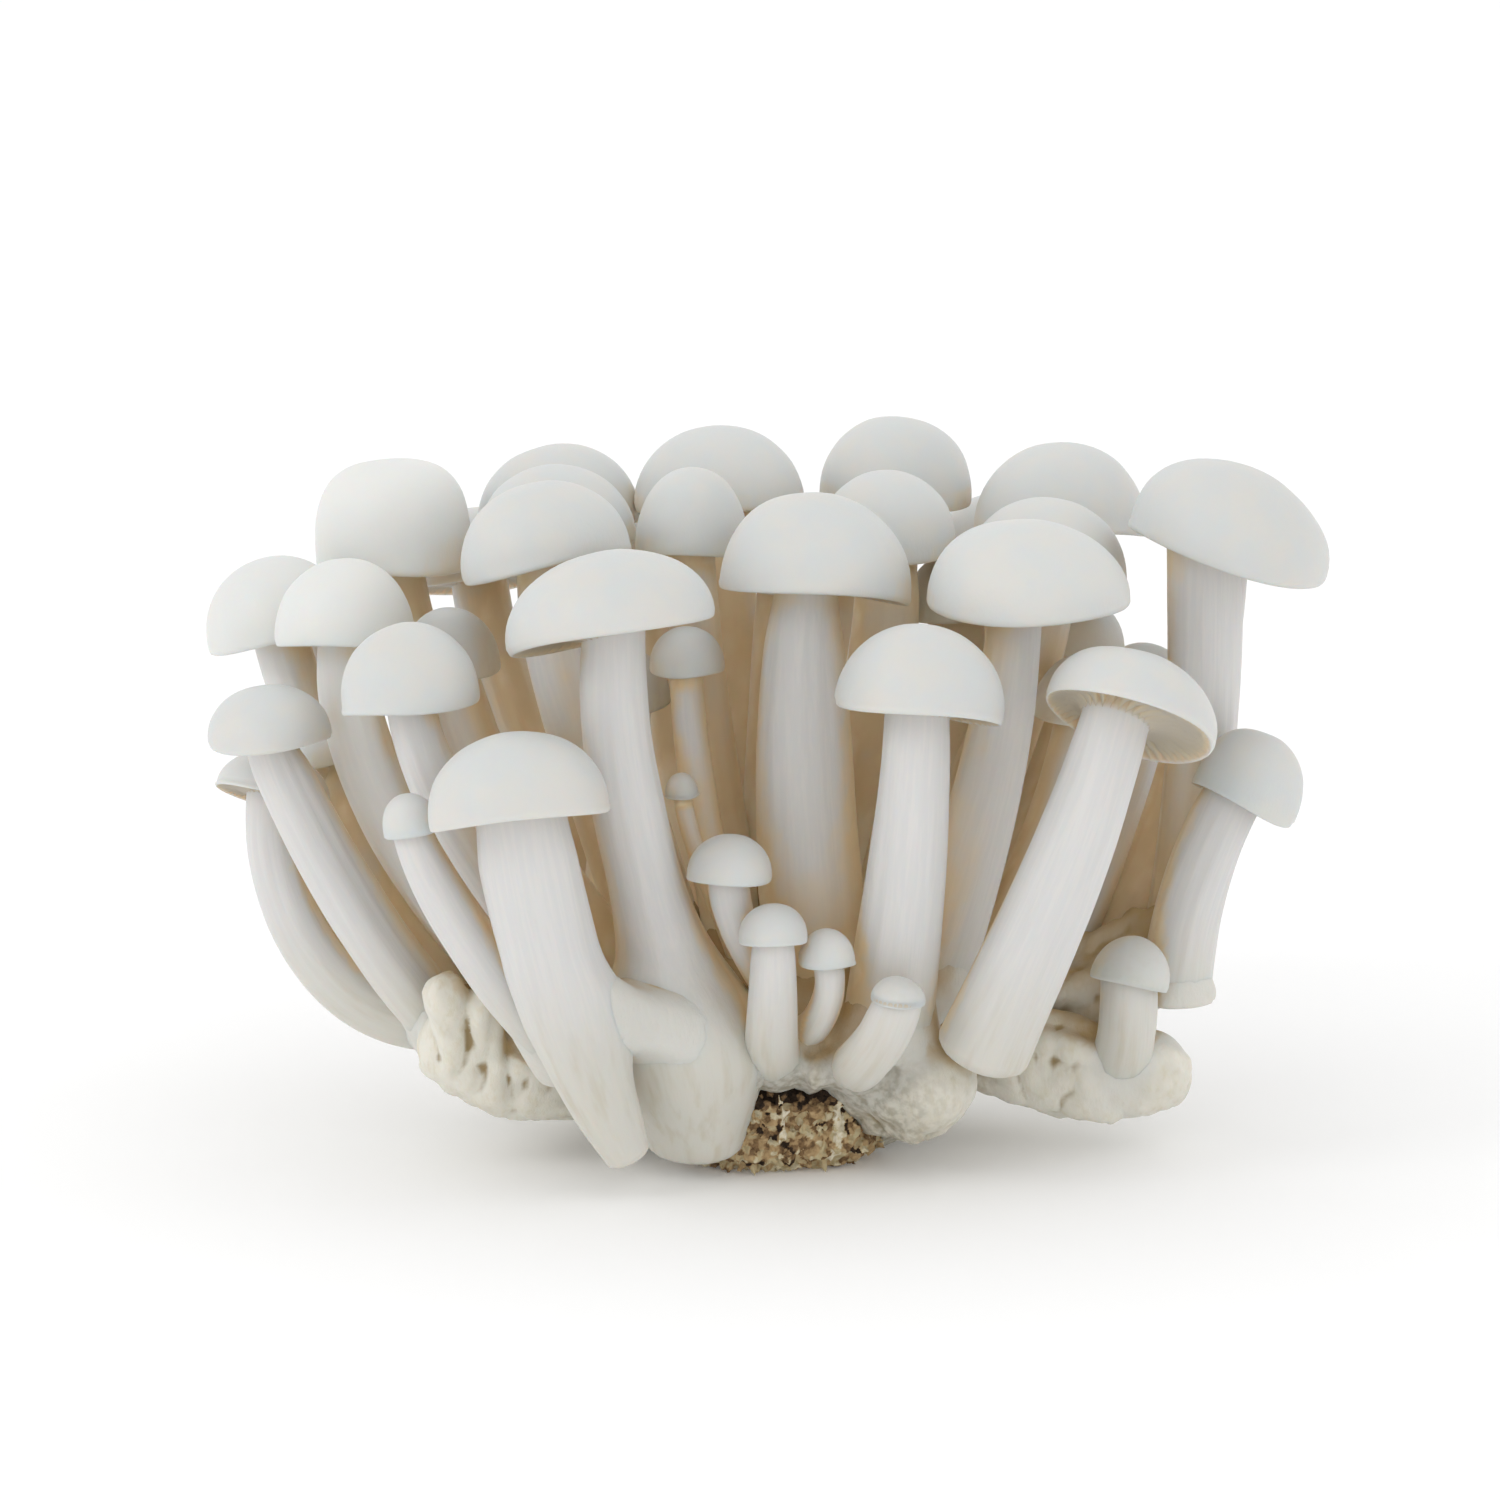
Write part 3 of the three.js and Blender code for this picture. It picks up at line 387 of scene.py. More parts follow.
def gill_columns(count, index):
    """The columns of all gills: their angles, how deep the surface is, and which gills are short."""
    draw = seeded(GILL_SEED + index)
    places, depths = np.array(GILL_COLUMNS).T
    jitter = np.array([GILL_JITTER * (draw() - 0.5) for _ in range(count)])
    following = np.roll(jitter, -1)
    shares = np.arange(count)[:, None] + places[None, :]
    shares = shares + jitter[:, None] * (1 - places[None, :]) + following[:, None] * places[None, :]
    short = np.repeat(np.arange(count) % 2, len(places))
    return (shares * 2 * pi / count).ravel(), np.tile(depths, count), short


def cap_rings(skin, shape, middle, offset, cap_axes, detail, phase, index):
    """Under the cap along the gills, round the rolled margin and over the dome."""
    radius, height = shape["size"]

    def cap_ring(angles, share, rise, relief=0.0, gill=0.0, inner=shape["girth"][2], aside=1.0):
        waver = 1 + WAVER[0] * np.cos(2 * angles + phase) + WAVER[1] * np.cos(3 * angles + 1.7 * phase)
        droop = DROOP * height * np.cos(2 * angles + 2 * phase)
        reach = mix(inner, radius * waver, share)
        lift = rise * height + droop * share * (1 - rise) + relief
        places = circle(middle + offset * (1 - share) * aside, cap_axes, angles, reach, lift)
        local = np.column_stack([reach * np.cos(angles), reach * np.sin(angles), lift]) + GRAIN_APART * phase
        return places, np.column_stack([np.ones_like(angles), np.full_like(angles, gill), local])

    if detail["gills"]:
        angles, depths, short = gill_columns(detail["gills"], index)
    else:
        angles, depths, short = turns(detail["dome_sides"]), 0, 0
    for share in np.linspace(detail["gill_start"], GILL_END, detail["gill_rows"]):
        way = share / GILL_END
        depth = GILL_DEPTH * height * sqrt(sin(pi * min(1, 0.04 + 0.95 * way)))
        deep = np.where(short, mix(1.0, depths, ease(share, *SHORT_GILL_START)), depths)
        skin.ring(*cap_ring(angles, share, UNDERSIDE_ARCH * sin(pi * way), depth * deep, gill=1.0))

    angles = turns(detail["dome_sides"])
    for turn in np.linspace(0, pi / 2, 5)[:-1]:
        share = mix(MARGIN_START, 1, sin(turn))
        skin.ring(*cap_ring(angles, share, MARGIN_RISE * (1 - cos(turn))))
    power = 2 / shape["full"]
    for turn in np.linspace(0, pi / 2, detail["dome_steps"] + 1)[:-1]:
        share = cos(turn) ** power
        rise = mix(MARGIN_RISE, 1, sin(turn) ** power)
        places, marks = cap_ring(angles, share, rise, inner=0.0, aside=DOME_ASIDE * share)
        skin.ring(uneven_cap(places, middle, cap_axes, height, phase), marks)
    top = middle + cap_axes[2] * height
    marks = [[1, 0, GRAIN_APART * phase, GRAIN_APART * phase, height + GRAIN_APART * phase]]
    skin.ring(uneven_cap(top[None, :], middle, cap_axes, height, phase), marks)


def uneven_cap(places, middle, cap_axes, height, phase):
    """Moves points of the dome in or out by shallow dents and swellings, from a heart inside it."""
    heart = middle + cap_axes[2] * HEART * height
    out = []
    for place in places:
        swelling = noise.noise(Vector(place / DENTS_APART) + Vector((phase, 0, 0)))
        fine = noise.noise(Vector(place / FINE_DENTS_APART) + Vector((0, phase, 0)))
        out.append(place + unit(place - heart) * (DENTS * swelling + FINE_DENTS * fine))
    return np.array(out)


def mushroom(index, detail):
    shape = MUSHROOMS[index]
    phase = PHASE * (index + 1)
    cap_axes = frame_of((*shape["lean"], 1))
    middle = shape["cap"]
    offset = cap_axes[0] * shape["aside"]
    curve = Curve([*shape["stem"], middle + offset])
    foot = curve.place(0)
    if shape["bare"]:
        foot = foot - curve.heading(0) * BLUNT * shape["girth"][0]
    skin = Skin(foot, np.zeros(len(MARKS) + 3))
    stem_rings(skin, shape, curve, cap_axes, detail, phase)
    cap_rings(skin, shape, middle, offset, cap_axes, detail, phase, index)
    return skin


# ---------- where mushrooms press together ----------

PRESS_GAP = 0.06  # the gap that pressing surfaces keep
FACING = 0.35  # two surfaces face each other if their normals' product is under this


def joined(skins):
    """Several skins as one."""
    out = Skin((0, 0, 0))
    out.places = [skin.points() for skin in skins]
    start = 0
    for skin in skins:
        out.faces += [[start + i for i in face] for face in skin.faces]
        start += skin.total
    return out


def tree_of(skin):
    return BVHTree.FromPolygons([Vector(p) for p in skin.points()], skin.faces)


def dent(points, normals, tree, low, high):
    """Moves points inside a tree's closed surface out to it, where the two surfaces face each other."""
    for i in np.where(np.all((points > low) & (points < high), axis=1))[0]:
        place, normal, _, _ = tree.find_nearest(Vector(points[i]))
        inside = (Vector(points[i]) - place).dot(normal) < PRESS_GAP
        if inside and Vector(normals[i]).dot(normal) < FACING:
            points[i] = place + normal * PRESS_GAP


BLEND = 4  # how near two surfaces start to run together
SWELLING = 1  # how far they swell where they meet
TURNED_TO_IT = (-0.75, -0.1)  # the products of directions between which the swelling sets in


def run_together(points, normals, tree, index):
    """Swells a surface where it is near a tree's surface and on the side of one front foot that faces the
    other, so that the two meet without a crease."""
    out = points.copy()
    middles = web_section(0.5)[0]
    facings = ease(normals @ unit(middles[1 - index] - middles[index]), *TURNED_TO_IT)
    for i, (point, normal, weight) in enumerate(zip(points, normals, facings)):
        place, facing, _, distance = tree.find_nearest(Vector(point), 2 * BLEND)
        if place is not None:
            inside = (Vector(point) - place).dot(facing) < 0
            share = 1 if inside else max(0, 1 - distance / BLEND)
            out[i] = point + normal * SWELLING * share ** 2 * weight
    return out


# ---------- the base ----------

BLOCK_SIDES = 72
VOXEL = 0.42  # the spacing of the base's surface


def base_reach(angle, height, radius):
    turn = atan2(sin(angle - NOTCH["facing"]), cos(angle - NOTCH["facing"]))
    fade = 1 - ease(height, NOTCH["start"], NOTCH["end"])
    notch = NOTCH["depth"] * exp(-((turn / NOTCH["half"]) ** 2)) * fade
    front = BASE_FRONT * max(0, -sin(angle)) ** 2
    lumps = BASE_LUMPS[0] * cos(5 * angle + 0.5 * height) + BASE_LUMPS[1] * cos(7 * angle + 1 - 0.4 * height)
    uneven = lumps - front - BASE_LEFTWARD * cos(angle)
    return radius * (1 - notch) * (1 + ease(height, 0, BASE_ROUND) * uneven)


def base_block():
    skin = Skin((0, 0, 0))
    for height, radius in BASE_LEVELS:
        back = BASE_SHIFT * max(0, height - BASE_WIDEST)
        angles = turns(BLOCK_SIDES)
        reach = np.array([base_reach(angle, height, radius) for angle in angles])
        skin.ring(circle(np.array([0, back, height]), frame_of((0, 0, 1)), angles, reach))
    return skin.ring((0, BASE_TOP, BASE_LEVELS[-1][0]))


def rod(curve, girth_at, steps=18, sides=20, blunt=0.9):
    """A tube along a curve with a rounded end."""
    stops = np.linspace(0, 1, steps + 1)
    headings = [curve.heading(t) for t in stops]
    frames = frames_along(headings, frame_of(headings[-1]))
    angles = turns(sides)
    skin = Skin(curve.place(0))
    for t, axes in zip(stops, frames):
        skin.ring(circle(curve.place(t), axes, angles, girth_at(t)))
    tip, heading = curve.place(1), frames[-1]
    for turn in np.linspace(0, pi / 2, 5)[1:-1]:
        ahead = tip + heading[2] * blunt * girth_at(1) * sin(turn)
        skin.ring(circle(ahead, heading, angles, girth_at(1) * cos(turn)))
    return skin.ring(tip + heading[2] * blunt * girth_at(1))


def straight(start, end):
    return Curve([start, mix(start, end, 1 / 3), mix(start, end, 2 / 3), end])


def button(root, growth, radius):
    """A closed young mushroom: a short stem with a slightly wider round head."""
    start = np.array(root, float)
    stem, head, between = BUTTON_GIRTH.values()
    curve = straight(start, start + BUTTON_REACH * np.array(growth, float))
    return rod(curve, lambda t: radius * (stem + head * ease(t, *between)))


def more_buttons():
    draw = seeded(BUTTON_SEED)
    out = []
    rule = MORE_BUTTONS
    for i in range(rule["count"]):
        angle = mix(*rule["sector"], (i + mix(0.2, 0.8, draw())) / rule["count"])
        height = mix(*rule["height"], draw())
        length = mix(*rule["length"], draw())
        away = np.array([cos(angle), sin(angle), 0])
        root = away * base_reach(angle, height, rule["level_radius"]) + (0, 0, height)
        growth = away * rule["outwards"] * length + (0, 0, rule["upwards"] * length)
        out.append(button(root, growth, mix(*rule["radius"], draw())))
    return out


def axis_and_girth(shape):
    return Curve(shape["points"]), lambda t: mix(*shape["girth"], t)


def strands(shape, draw):
    """Thin stems along a lobe, each half sunk in it."""
    curve = Curve(shape["points"])
    headings = [curve.heading(t) for t in THIRDS]
    frames = frames_along(headings, frame_of(headings[-1]))
    out = []
    for i in range(STRANDS["to_a_lobe"]):
        turn = 2 * pi * (i + mix(-0.25, 0.25, draw())) / STRANDS["to_a_lobe"]
        length = mix(*STRANDS["length"], draw())
        points = []
        for t, (across, along, _) in zip(THIRDS, frames):
            away = across * cos(turn) + along * sin(turn)
            points.append(curve.place(t * length) + away * STRANDS["aside"] * mix(*shape["girth"], t))
        out.append(rod(Curve(points), lambda t: STRANDS["girth"] * mix(*shape["girth"], t), **COARSE_ROD))
    return out


def ridges():
    """Stems' ends that run up the sides of the base."""
    draw = seeded(RIDGE_SEED)
    levels, radii = np.array(BASE_LEVELS).T
    out = []
    for i in range(RIDGES["count"]):
        angle = 2 * pi * (i + mix(-0.3, 0.3, draw())) / RIDGES["count"]
        foot, top = mix(*RIDGES["foot"], draw()), mix(*RIDGES["top"], draw())
        girth = mix(*RIDGES["girth"], draw())
        drift = mix(*RIDGES["drift"], draw())
        points = []
        for way in THIRDS:
            height = mix(foot, top, way)
            turn = angle + drift * way
            reach = base_reach(turn, height, np.interp(height, levels, radii)) - RIDGES["sunk"] * girth
            points.append(np.array([cos(turn), sin(turn), 0]) * reach + (0, 0, height))
        out.append(rod(Curve(points), lambda t, girth=girth: girth * mix(0.8, 1, t), **COARSE_ROD))
    return out


def collar(shape):
    """The flare that the base rises in to close round the foot of a stem, as a lobe's points and girth."""
    curve = Curve([*shape["stem"], shape["cap"]])
    start = COLLAR["behind"] if shape["stem"][0][2] < LOW_FOOT else 0
    reach = COLLAR["reach" if shape["size"][0] > SMALL_CAP else "small_reach"]
    girth = shape["girth"][0] + np.array(COLLAR["over"])
    return dict(points=[curve.place(t) for t in np.linspace(start, reach, 4)], girth=girth)


def web_section(low_to_high):
    """The middles and the radii of the two front feet's sections at one level of the web."""
    middles, radii = [], []
    for shape, low, high, sunk in zip(MUSHROOMS, WEB["low"], WEB["high"], WEB["sunk"]):
        t = mix(low, high, low_to_high)
        middles.append(Curve([*shape["stem"], shape["cap"]]).place(t))
        radii.append(stem_girth(shape, t) - sunk)
    return np.array(middles), np.array(radii)


def web():
    """The tissue that closes the place between the two front feet, flush with both."""
    angles = turns(BLOCK_SIDES)
    facing = np.column_stack([np.cos(angles), np.sin(angles), np.zeros_like(angles)])
    skin = Skin(web_section(0)[0].mean(axis=0))
    for turn in np.linspace(*WEB["rings"]) * pi:
        middles, radii = web_section(0.5 - 0.5 * cos(turn))
        radii = radii * min(1, WEB["edge"] * sin(turn)) ** 0.5
        outermost = np.argmax(facing @ middles.T + radii, axis=1)
        skin.ring(middles[outermost] + facing * radii[outermost][:, None])
    return skin.ring(web_section(1)[0].mean(axis=0))


def plug_waver(angle):
    return 1 + PLUG_WAVER[0] * np.cos(3 * angle + 1) + PLUG_WAVER[1] * np.cos(7 * angle)


def plug_radius(height):
    return np.interp(height, *np.array(MEDIUM_LEVELS).T)


def on_plug(angle, radius, height):
    return np.array([*MEDIUM_MIDDLE, height]) + (radius * cos(angle), radius * sin(angle), 0)


def plug(grow):
    """The growing medium's plain body, grown or shrunk by some millimetres."""
    skin = Skin((*MEDIUM_MIDDLE, -grow))
    angles = turns(PLUG_SIDES)
    for height, radius in MEDIUM_LEVELS:
        level = np.array([*MEDIUM_MIDDLE, height + (grow if height else -grow)])
        skin.ring(circle(level, frame_of((0, 0, 1)), angles, radius * plug_waver(angles) + grow))
    return skin.ring((*MEDIUM_MIDDLE, MEDIUM_LEVELS[-1][0] + grow))


# ---------- meshes ----------

def put_in_scene(name, data):
    thing = bpy.data.objects.new(name, data)
    bpy.context.scene.collection.objects.link(thing)
    return thing


def new_object(name, skins):
    """One object of one or more skins, in metres."""
    skin = joined(skins)
    mesh = bpy.data.meshes.new(name)
    mesh.from_pydata((skin.points() * MM).tolist(), [], skin.faces)
    mesh.validate()
    return put_in_scene(name, mesh)


def apply_modifiers(piece):
    """Replaces an object's mesh by what its modifiers make of it."""
    graph = bpy.context.evaluated_depsgraph_get()
    made = bpy.data.meshes.new_from_object(piece.evaluated_get(graph))
    old = piece.data
    piece.modifiers.clear()
    piece.data = made
    bpy.data.meshes.remove(old)


def remesh(piece, voxel, smoothing=0):
    modifier = piece.modifiers.new("join", "REMESH")
    modifier.mode = "VOXEL"
    modifier.voxel_size = voxel * MM
    if smoothing:
        smooth = piece.modifiers.new("smooth", "SMOOTH")
        smooth.factor = 0.5
        smooth.iterations = smoothing
    apply_modifiers(piece)


def cut(piece, tool):
    modifier = piece.modifiers.new("cut", "BOOLEAN")
    modifier.operation = "DIFFERENCE"
    modifier.solver = "MANIFOLD"
    modifier.object = tool
    apply_modifiers(piece)
    bpy.data.objects.remove(tool)


def read(mesh, what):
    out = np.empty(len(mesh.vertices) * 3)
    mesh.vertices.foreach_get(what, out)
    return out.reshape(-1, 3)


def set_places(mesh, places):
    mesh.vertices.foreach_set("co", (places * MM).ravel())
    mesh.update()


def set_mark(mesh, name, values):
    values = np.asarray(values, float)
    kind = "FLOAT_VECTOR" if values.ndim == 2 else "FLOAT"
    layer = mesh.attributes.new(name, kind, "POINT")
    layer.data.foreach_set("vector" if values.ndim == 2 else "value", values.ravel())


def relax(mesh, places, rounds, weight):
    """Moves points towards the mean of their neighbours, a few times, by as much as the weight says."""
    edges = np.empty(len(mesh.edges) * 2, int)
    mesh.edges.foreach_get("vertices", edges)
    a, b = edges.reshape(-1, 2).T
    count = np.bincount(np.concatenate([a, b]), minlength=len(places))[:, None]
    for _ in range(rounds):
        total = np.zeros_like(places)
        np.add.at(total, a, places[b])
        np.add.at(total, b, places[a])
        places = mix(places, total / count, weight)
    return places


def hollows(mesh, places):
    """How far each point lies under the mean of its surroundings, in millimetres."""
    smooth = relax(mesh, places, HOLLOW_ROUNDS, HOLLOW_WEIGHT)
    return np.einsum("ij,ij->i", smooth - places, read(mesh, "normal"))


def noise_at(places, scale, offset=0.0):
    return np.array([noise.noise(Vector(p)) for p in places * scale + offset])


HOLLOW_ROUNDS, HOLLOW_WEIGHT = 14, 0.7  # what the surroundings of a hollow are found with
EVEN_ROUNDS, EVEN_WEIGHT = 34, 0.15  # what the web and the collars are evened with
ROD_STOPS = 16
NEAR, ON_IT = 2.2, 0.4  # the distances between which a place stops to be near a rod's surface


def near_rod(places, curve, girth_at):
    """1 on a rod's surface and in it, falling to 0 a few millimetres away."""
    stops = np.linspace(0, 1, ROD_STOPS)
    axis = np.array([curve.place(t) for t in stops])
    girth = np.array([girth_at(t) for t in stops])
    out = np.zeros(len(places))
    reach = girth.max() + NEAR
    close = np.all((places > axis.min(axis=0) - reach) & (places < axis.max(axis=0) + reach), axis=1)
    away = np.linalg.norm(places[close][:, None, :] - axis[None, :, :], axis=2) - girth[None, :]
    out[close] = ease(away.min(axis=1), NEAR, ON_IT)
    return out


# ---------- how open each place is to the light ----------

OPEN_RAYS, OPEN_REACH = 28, 45
RAY_START = 0.5  # how far over the surface a ray starts
FAN_HINT = (0.36, 0.48, 0.8)
NEAREST, NO_NEARER = 4, 0.15  # how many known points a value is spread from, and what is added to distances


def open_shares(tree, places, normals):
    """The share of directions in which each place is free of a tree's surface."""
    k = np.arange(OPEN_RAYS) + 0.5
    sine = np.sqrt(k / OPEN_RAYS)
    turn = k * pi * (3 - sqrt(5))
    fan = np.column_stack([sine * np.cos(turn), sine * np.sin(turn), np.sqrt(1 - sine ** 2)])
    out = np.empty(len(places))
    for k, (place, normal) in enumerate(zip(places, normals)):
        rays = fan @ np.array(frame_of(normal, FAN_HINT))
        start = Vector(place + normal * RAY_START)
        hits = sum(tree.ray_cast(start, Vector(ray), OPEN_REACH)[0] is not None for ray in rays)
        out[k] = 1 - hits / OPEN_RAYS
    return out


def nearest_of(places):
    tree = KDTree(len(places))
    for i, place in enumerate(places):
        tree.insert(place, i)
    tree.balance()
    return tree


def spread(values, known, places):
    """Values known at some points, as a mean over the nearest few for each of the places."""
    tree = nearest_of(known)
    out = np.empty(len(places))
    for k, place in enumerate(places):
        found = tree.find_n(place, NEAREST)
        weights = np.array([1 / (distance + NO_NEARER) ** 2 for _, _, distance in found])
        out[k] = weights @ values[[i for _, i, _ in found]] / weights.sum()
    return out


# ---------- the growing medium ----------

CHIPS = 4200
CHIPS_AT_SIDE = 0.68  # the share that lies on the plug's side, and not under it
SIDE_CHIPS_HEIGHT, SIDE_CHIPS_DEPTH = (0.3, 9.3), (-0.5, 0.45)
UNDER_CHIPS_HEIGHT = (0.1, 0.5)
CHIP_LENGTH = (0.28, 1.15)
CHIP_WIDTH, CHIP_THICKNESS = (0.35, 0.8), (0.18, 0.5)  # in shares of its length
THREADS = dict(
    count=3, sector=(-0.55, 0.6), top=(6, 9), foot=(0.4, 2.5), drift=0.05, proud=0.35, girth=(0.08, 0.16),
)
MEDIUM_VOXEL = 0.17
MEDIUM_SEED = 31
OCTAHEDRON = np.array([(1, 0, 0), (-1, 0, 0), (0, 1, 0), (0, -1, 0), (0, 0, 1), (0, 0, -1)], float)
OCTAHEDRON_FACES = [(0, 2, 4), (2, 1, 4), (1, 3, 4), (3, 0, 4), (2, 0, 5), (1, 2, 5), (3, 1, 5), (0, 3, 5)]

# The tones of the flakes and threads, as shares along the medium's colour ramp.
TONES = (0.04, 0.25, 0.45, 0.62, 0.8)
THREAD = 0.9
# Over each level, the rolls of the dice up to which a flake has the first tone, the second and so on.
# Over 7 mm, in the notch under the base, most flakes take the darkest tone as painted shade.
TONE_SHARES = ((7, (0.66,)), (2.4, (0.05, 0.42, 0.76, 0.94)), (0, (0.04, 0.22, 0.55, 0.88)))


def chip(middle, axes, size):
    """One flake of sawdust or bran."""
    flake = Skin(middle)
    flake.places = [middle + (OCTAHEDRON * size) @ np.array(axes)]
    flake.faces = OCTAHEDRON_FACES
    flake.total = len(OCTAHEDRON)
    return flake


def tone_at(height, rng):
    """Painted shade, nearly black, at the top edge in the hollow under the stems' feet; brown in the middle
    and paler towards the ground.
    """
    roll = rng.random()
    shares = next(shares for level, shares in TONE_SHARES if height > level)
    return TONES[int(np.searchsorted(shares, roll))]


def medium_chips(rng):
    """Flakes over the side, the top edge and the underside of the plug, and the tone of each."""
    chips, tones = [], []
    for _ in range(CHIPS):
        angle = rng.uniform(0, 2 * pi)
        if rng.random() < CHIPS_AT_SIDE:
            height = rng.uniform(*SIDE_CHIPS_HEIGHT)
            radius = plug_radius(height) * plug_waver(angle) + rng.uniform(*SIDE_CHIPS_DEPTH)
        else:
            height = rng.uniform(*UNDER_CHIPS_HEIGHT)
            radius = MEDIUM_LEVELS[0][1] * plug_waver(angle) * sqrt(rng.random())
        length = mix(*CHIP_LENGTH, rng.random() ** 2)
        size = length * np.array([1, rng.uniform(*CHIP_WIDTH), rng.uniform(*CHIP_THICKNESS)])
        axes = frame_of(rng.normal(size=3), rng.normal(size=3))
        chips.append(chip(on_plug(angle, radius, height), axes, size))
        tones.append(tone_at(height, rng))
    return chips, tones


def threads(rng):
    """White threads of the fungus that run down over the medium."""
    out = []
    for _ in range(THREADS["count"]):
        angle = NOTCH["facing"] + rng.uniform(*THREADS["sector"])
        points = []
        for height in np.linspace(rng.uniform(*THREADS["top"]), rng.uniform(*THREADS["foot"]), 4):
            angle += rng.normal() * THREADS["drift"]
            points.append(on_plug(angle, plug_radius(height) + THREADS["proud"], height))
        girth = rng.uniform(*THREADS["girth"])
        out.append(rod(Curve(points), lambda t, girth=girth: girth * (1 - 0.4 * t), steps=14, sides=8))
    return out


# ---------- materials ----------

def linear(red, green, blue):
    """A colour given in the 0 to 255 of a screen, as light."""
    channels = np.array([red, green, blue]) / 255
    return tuple(np.where(channels <= 0.04045, channels / 12.92, ((channels + 0.055) / 1.055) ** 2.4)) + (1,)


class Shader:
    """A material's nodes, built by short calls that each return an output."""

    def __init__(self, name):
        self.material = bpy.data.materials.new(name)
        self.material.use_nodes = True
        self.nodes = self.material.node_tree.nodes
        self.surface = self.nodes["Principled BSDF"]

    def set(self, socket, value):
        if isinstance(value, bpy.types.NodeSocket):
            self.material.node_tree.links.new(value, socket)
        else:
            socket.default_value = value

    def add(self, kind, inputs=None, **settings):
        node = self.nodes.new(kind)
        for key, value in settings.items():
            setattr(node, key, value)
        for key, value in (inputs or {}).items():
            self.set(node.inputs[key], value)
        return node

    def mark(self, name, vector=False):
        return self.add("ShaderNodeAttribute", attribute_name=name).outputs["Vector" if vector else "Fac"]

    def place(self):
        return self.add("ShaderNodeTexCoord").outputs["Object"]

    def stretched(self, vector, scale):
        return self.add("ShaderNodeMapping", {"Vector": vector, "Scale": scale}).outputs["Vector"]

    def grain(self, vector, scale, detail=3.0, roughness=0.55):
        inputs = {"Vector": vector, "Scale": scale, "Detail": detail, "Roughness": roughness}
        return self.add("ShaderNodeTexNoise", inputs).outputs["Fac"]

    def curve(self, value, low, high, to_low=0.0, to_high=1.0):
        inputs = {"Value": value, "From Min": low, "From Max": high, "To Min": to_low, "To Max": to_high}
        return self.add("ShaderNodeMapRange", inputs, interpolation_type="SMOOTHSTEP").outputs["Result"]

    def sum(self, a, b):
        return self.add("ShaderNodeMath", {0: a, 1: b}, operation="ADD").outputs[0]

    def product(self, a, b):
        return self.add("ShaderNodeMath", {0: a, 1: b}, operation="MULTIPLY").outputs[0]

    def blend(self, factor, a, b):
        return self.add("ShaderNodeMix", {0: factor, 6: a, 7: b}, data_type="RGBA").outputs[2]

    def ramp(self, value, stops):
        node = self.add("ShaderNodeValToRGB", {"Fac": value})
        elements = node.color_ramp.elements
        while len(elements) < len(stops):
            elements.new(0.5)
        for element, (position, colour) in zip(elements, stops):
            element.position = position
            element.color = colour
        return node.outputs["Color"]

    def bump(self, height, strength, distance):
        inputs = {"Height": height, "Strength": strength, "Distance": distance * MM}
        return self.add("ShaderNodeBump", inputs).outputs["Normal"]

    def finish(self, colour, roughness, specular, more):
        inputs = {"Base Color": colour, "Roughness": roughness, "Specular IOR Level": specular}
        for key, value in (inputs | more).items():
            self.set(self.surface.inputs[key], value)
        return self.material

    def soft(self, weight, scale):
        """What lets light a little way into flesh, the reddest light furthest."""
        return {"Subsurface Weight": weight, "Subsurface Radius": SKIN_DEPTH, "Subsurface Scale": scale * MM}


# The shade tint is painted shade where little light reaches the flesh; the deep colour is painted bounce
# light where almost none does.
FLESH = dict(cap=linear(205, 208, 207), rim=linear(210, 209, 204), pale=linear(236, 237, 234),
             stem=linear(214, 213, 211), streak=linear(210, 210, 209), cream=linear(214, 194, 160),
             foot=linear(207, 205, 195), mottle=linear(190, 182, 160),
             painted_shade_tint=linear(233, 209, 166), deep=linear(250, 236, 210))
SKIN_DEPTH = (1.0, 0.5, 0.3)  # how far red, green and blue light goes into flesh
FOOT_FADE = (27, 11)  # the heights between which the stems take on the colour of the base


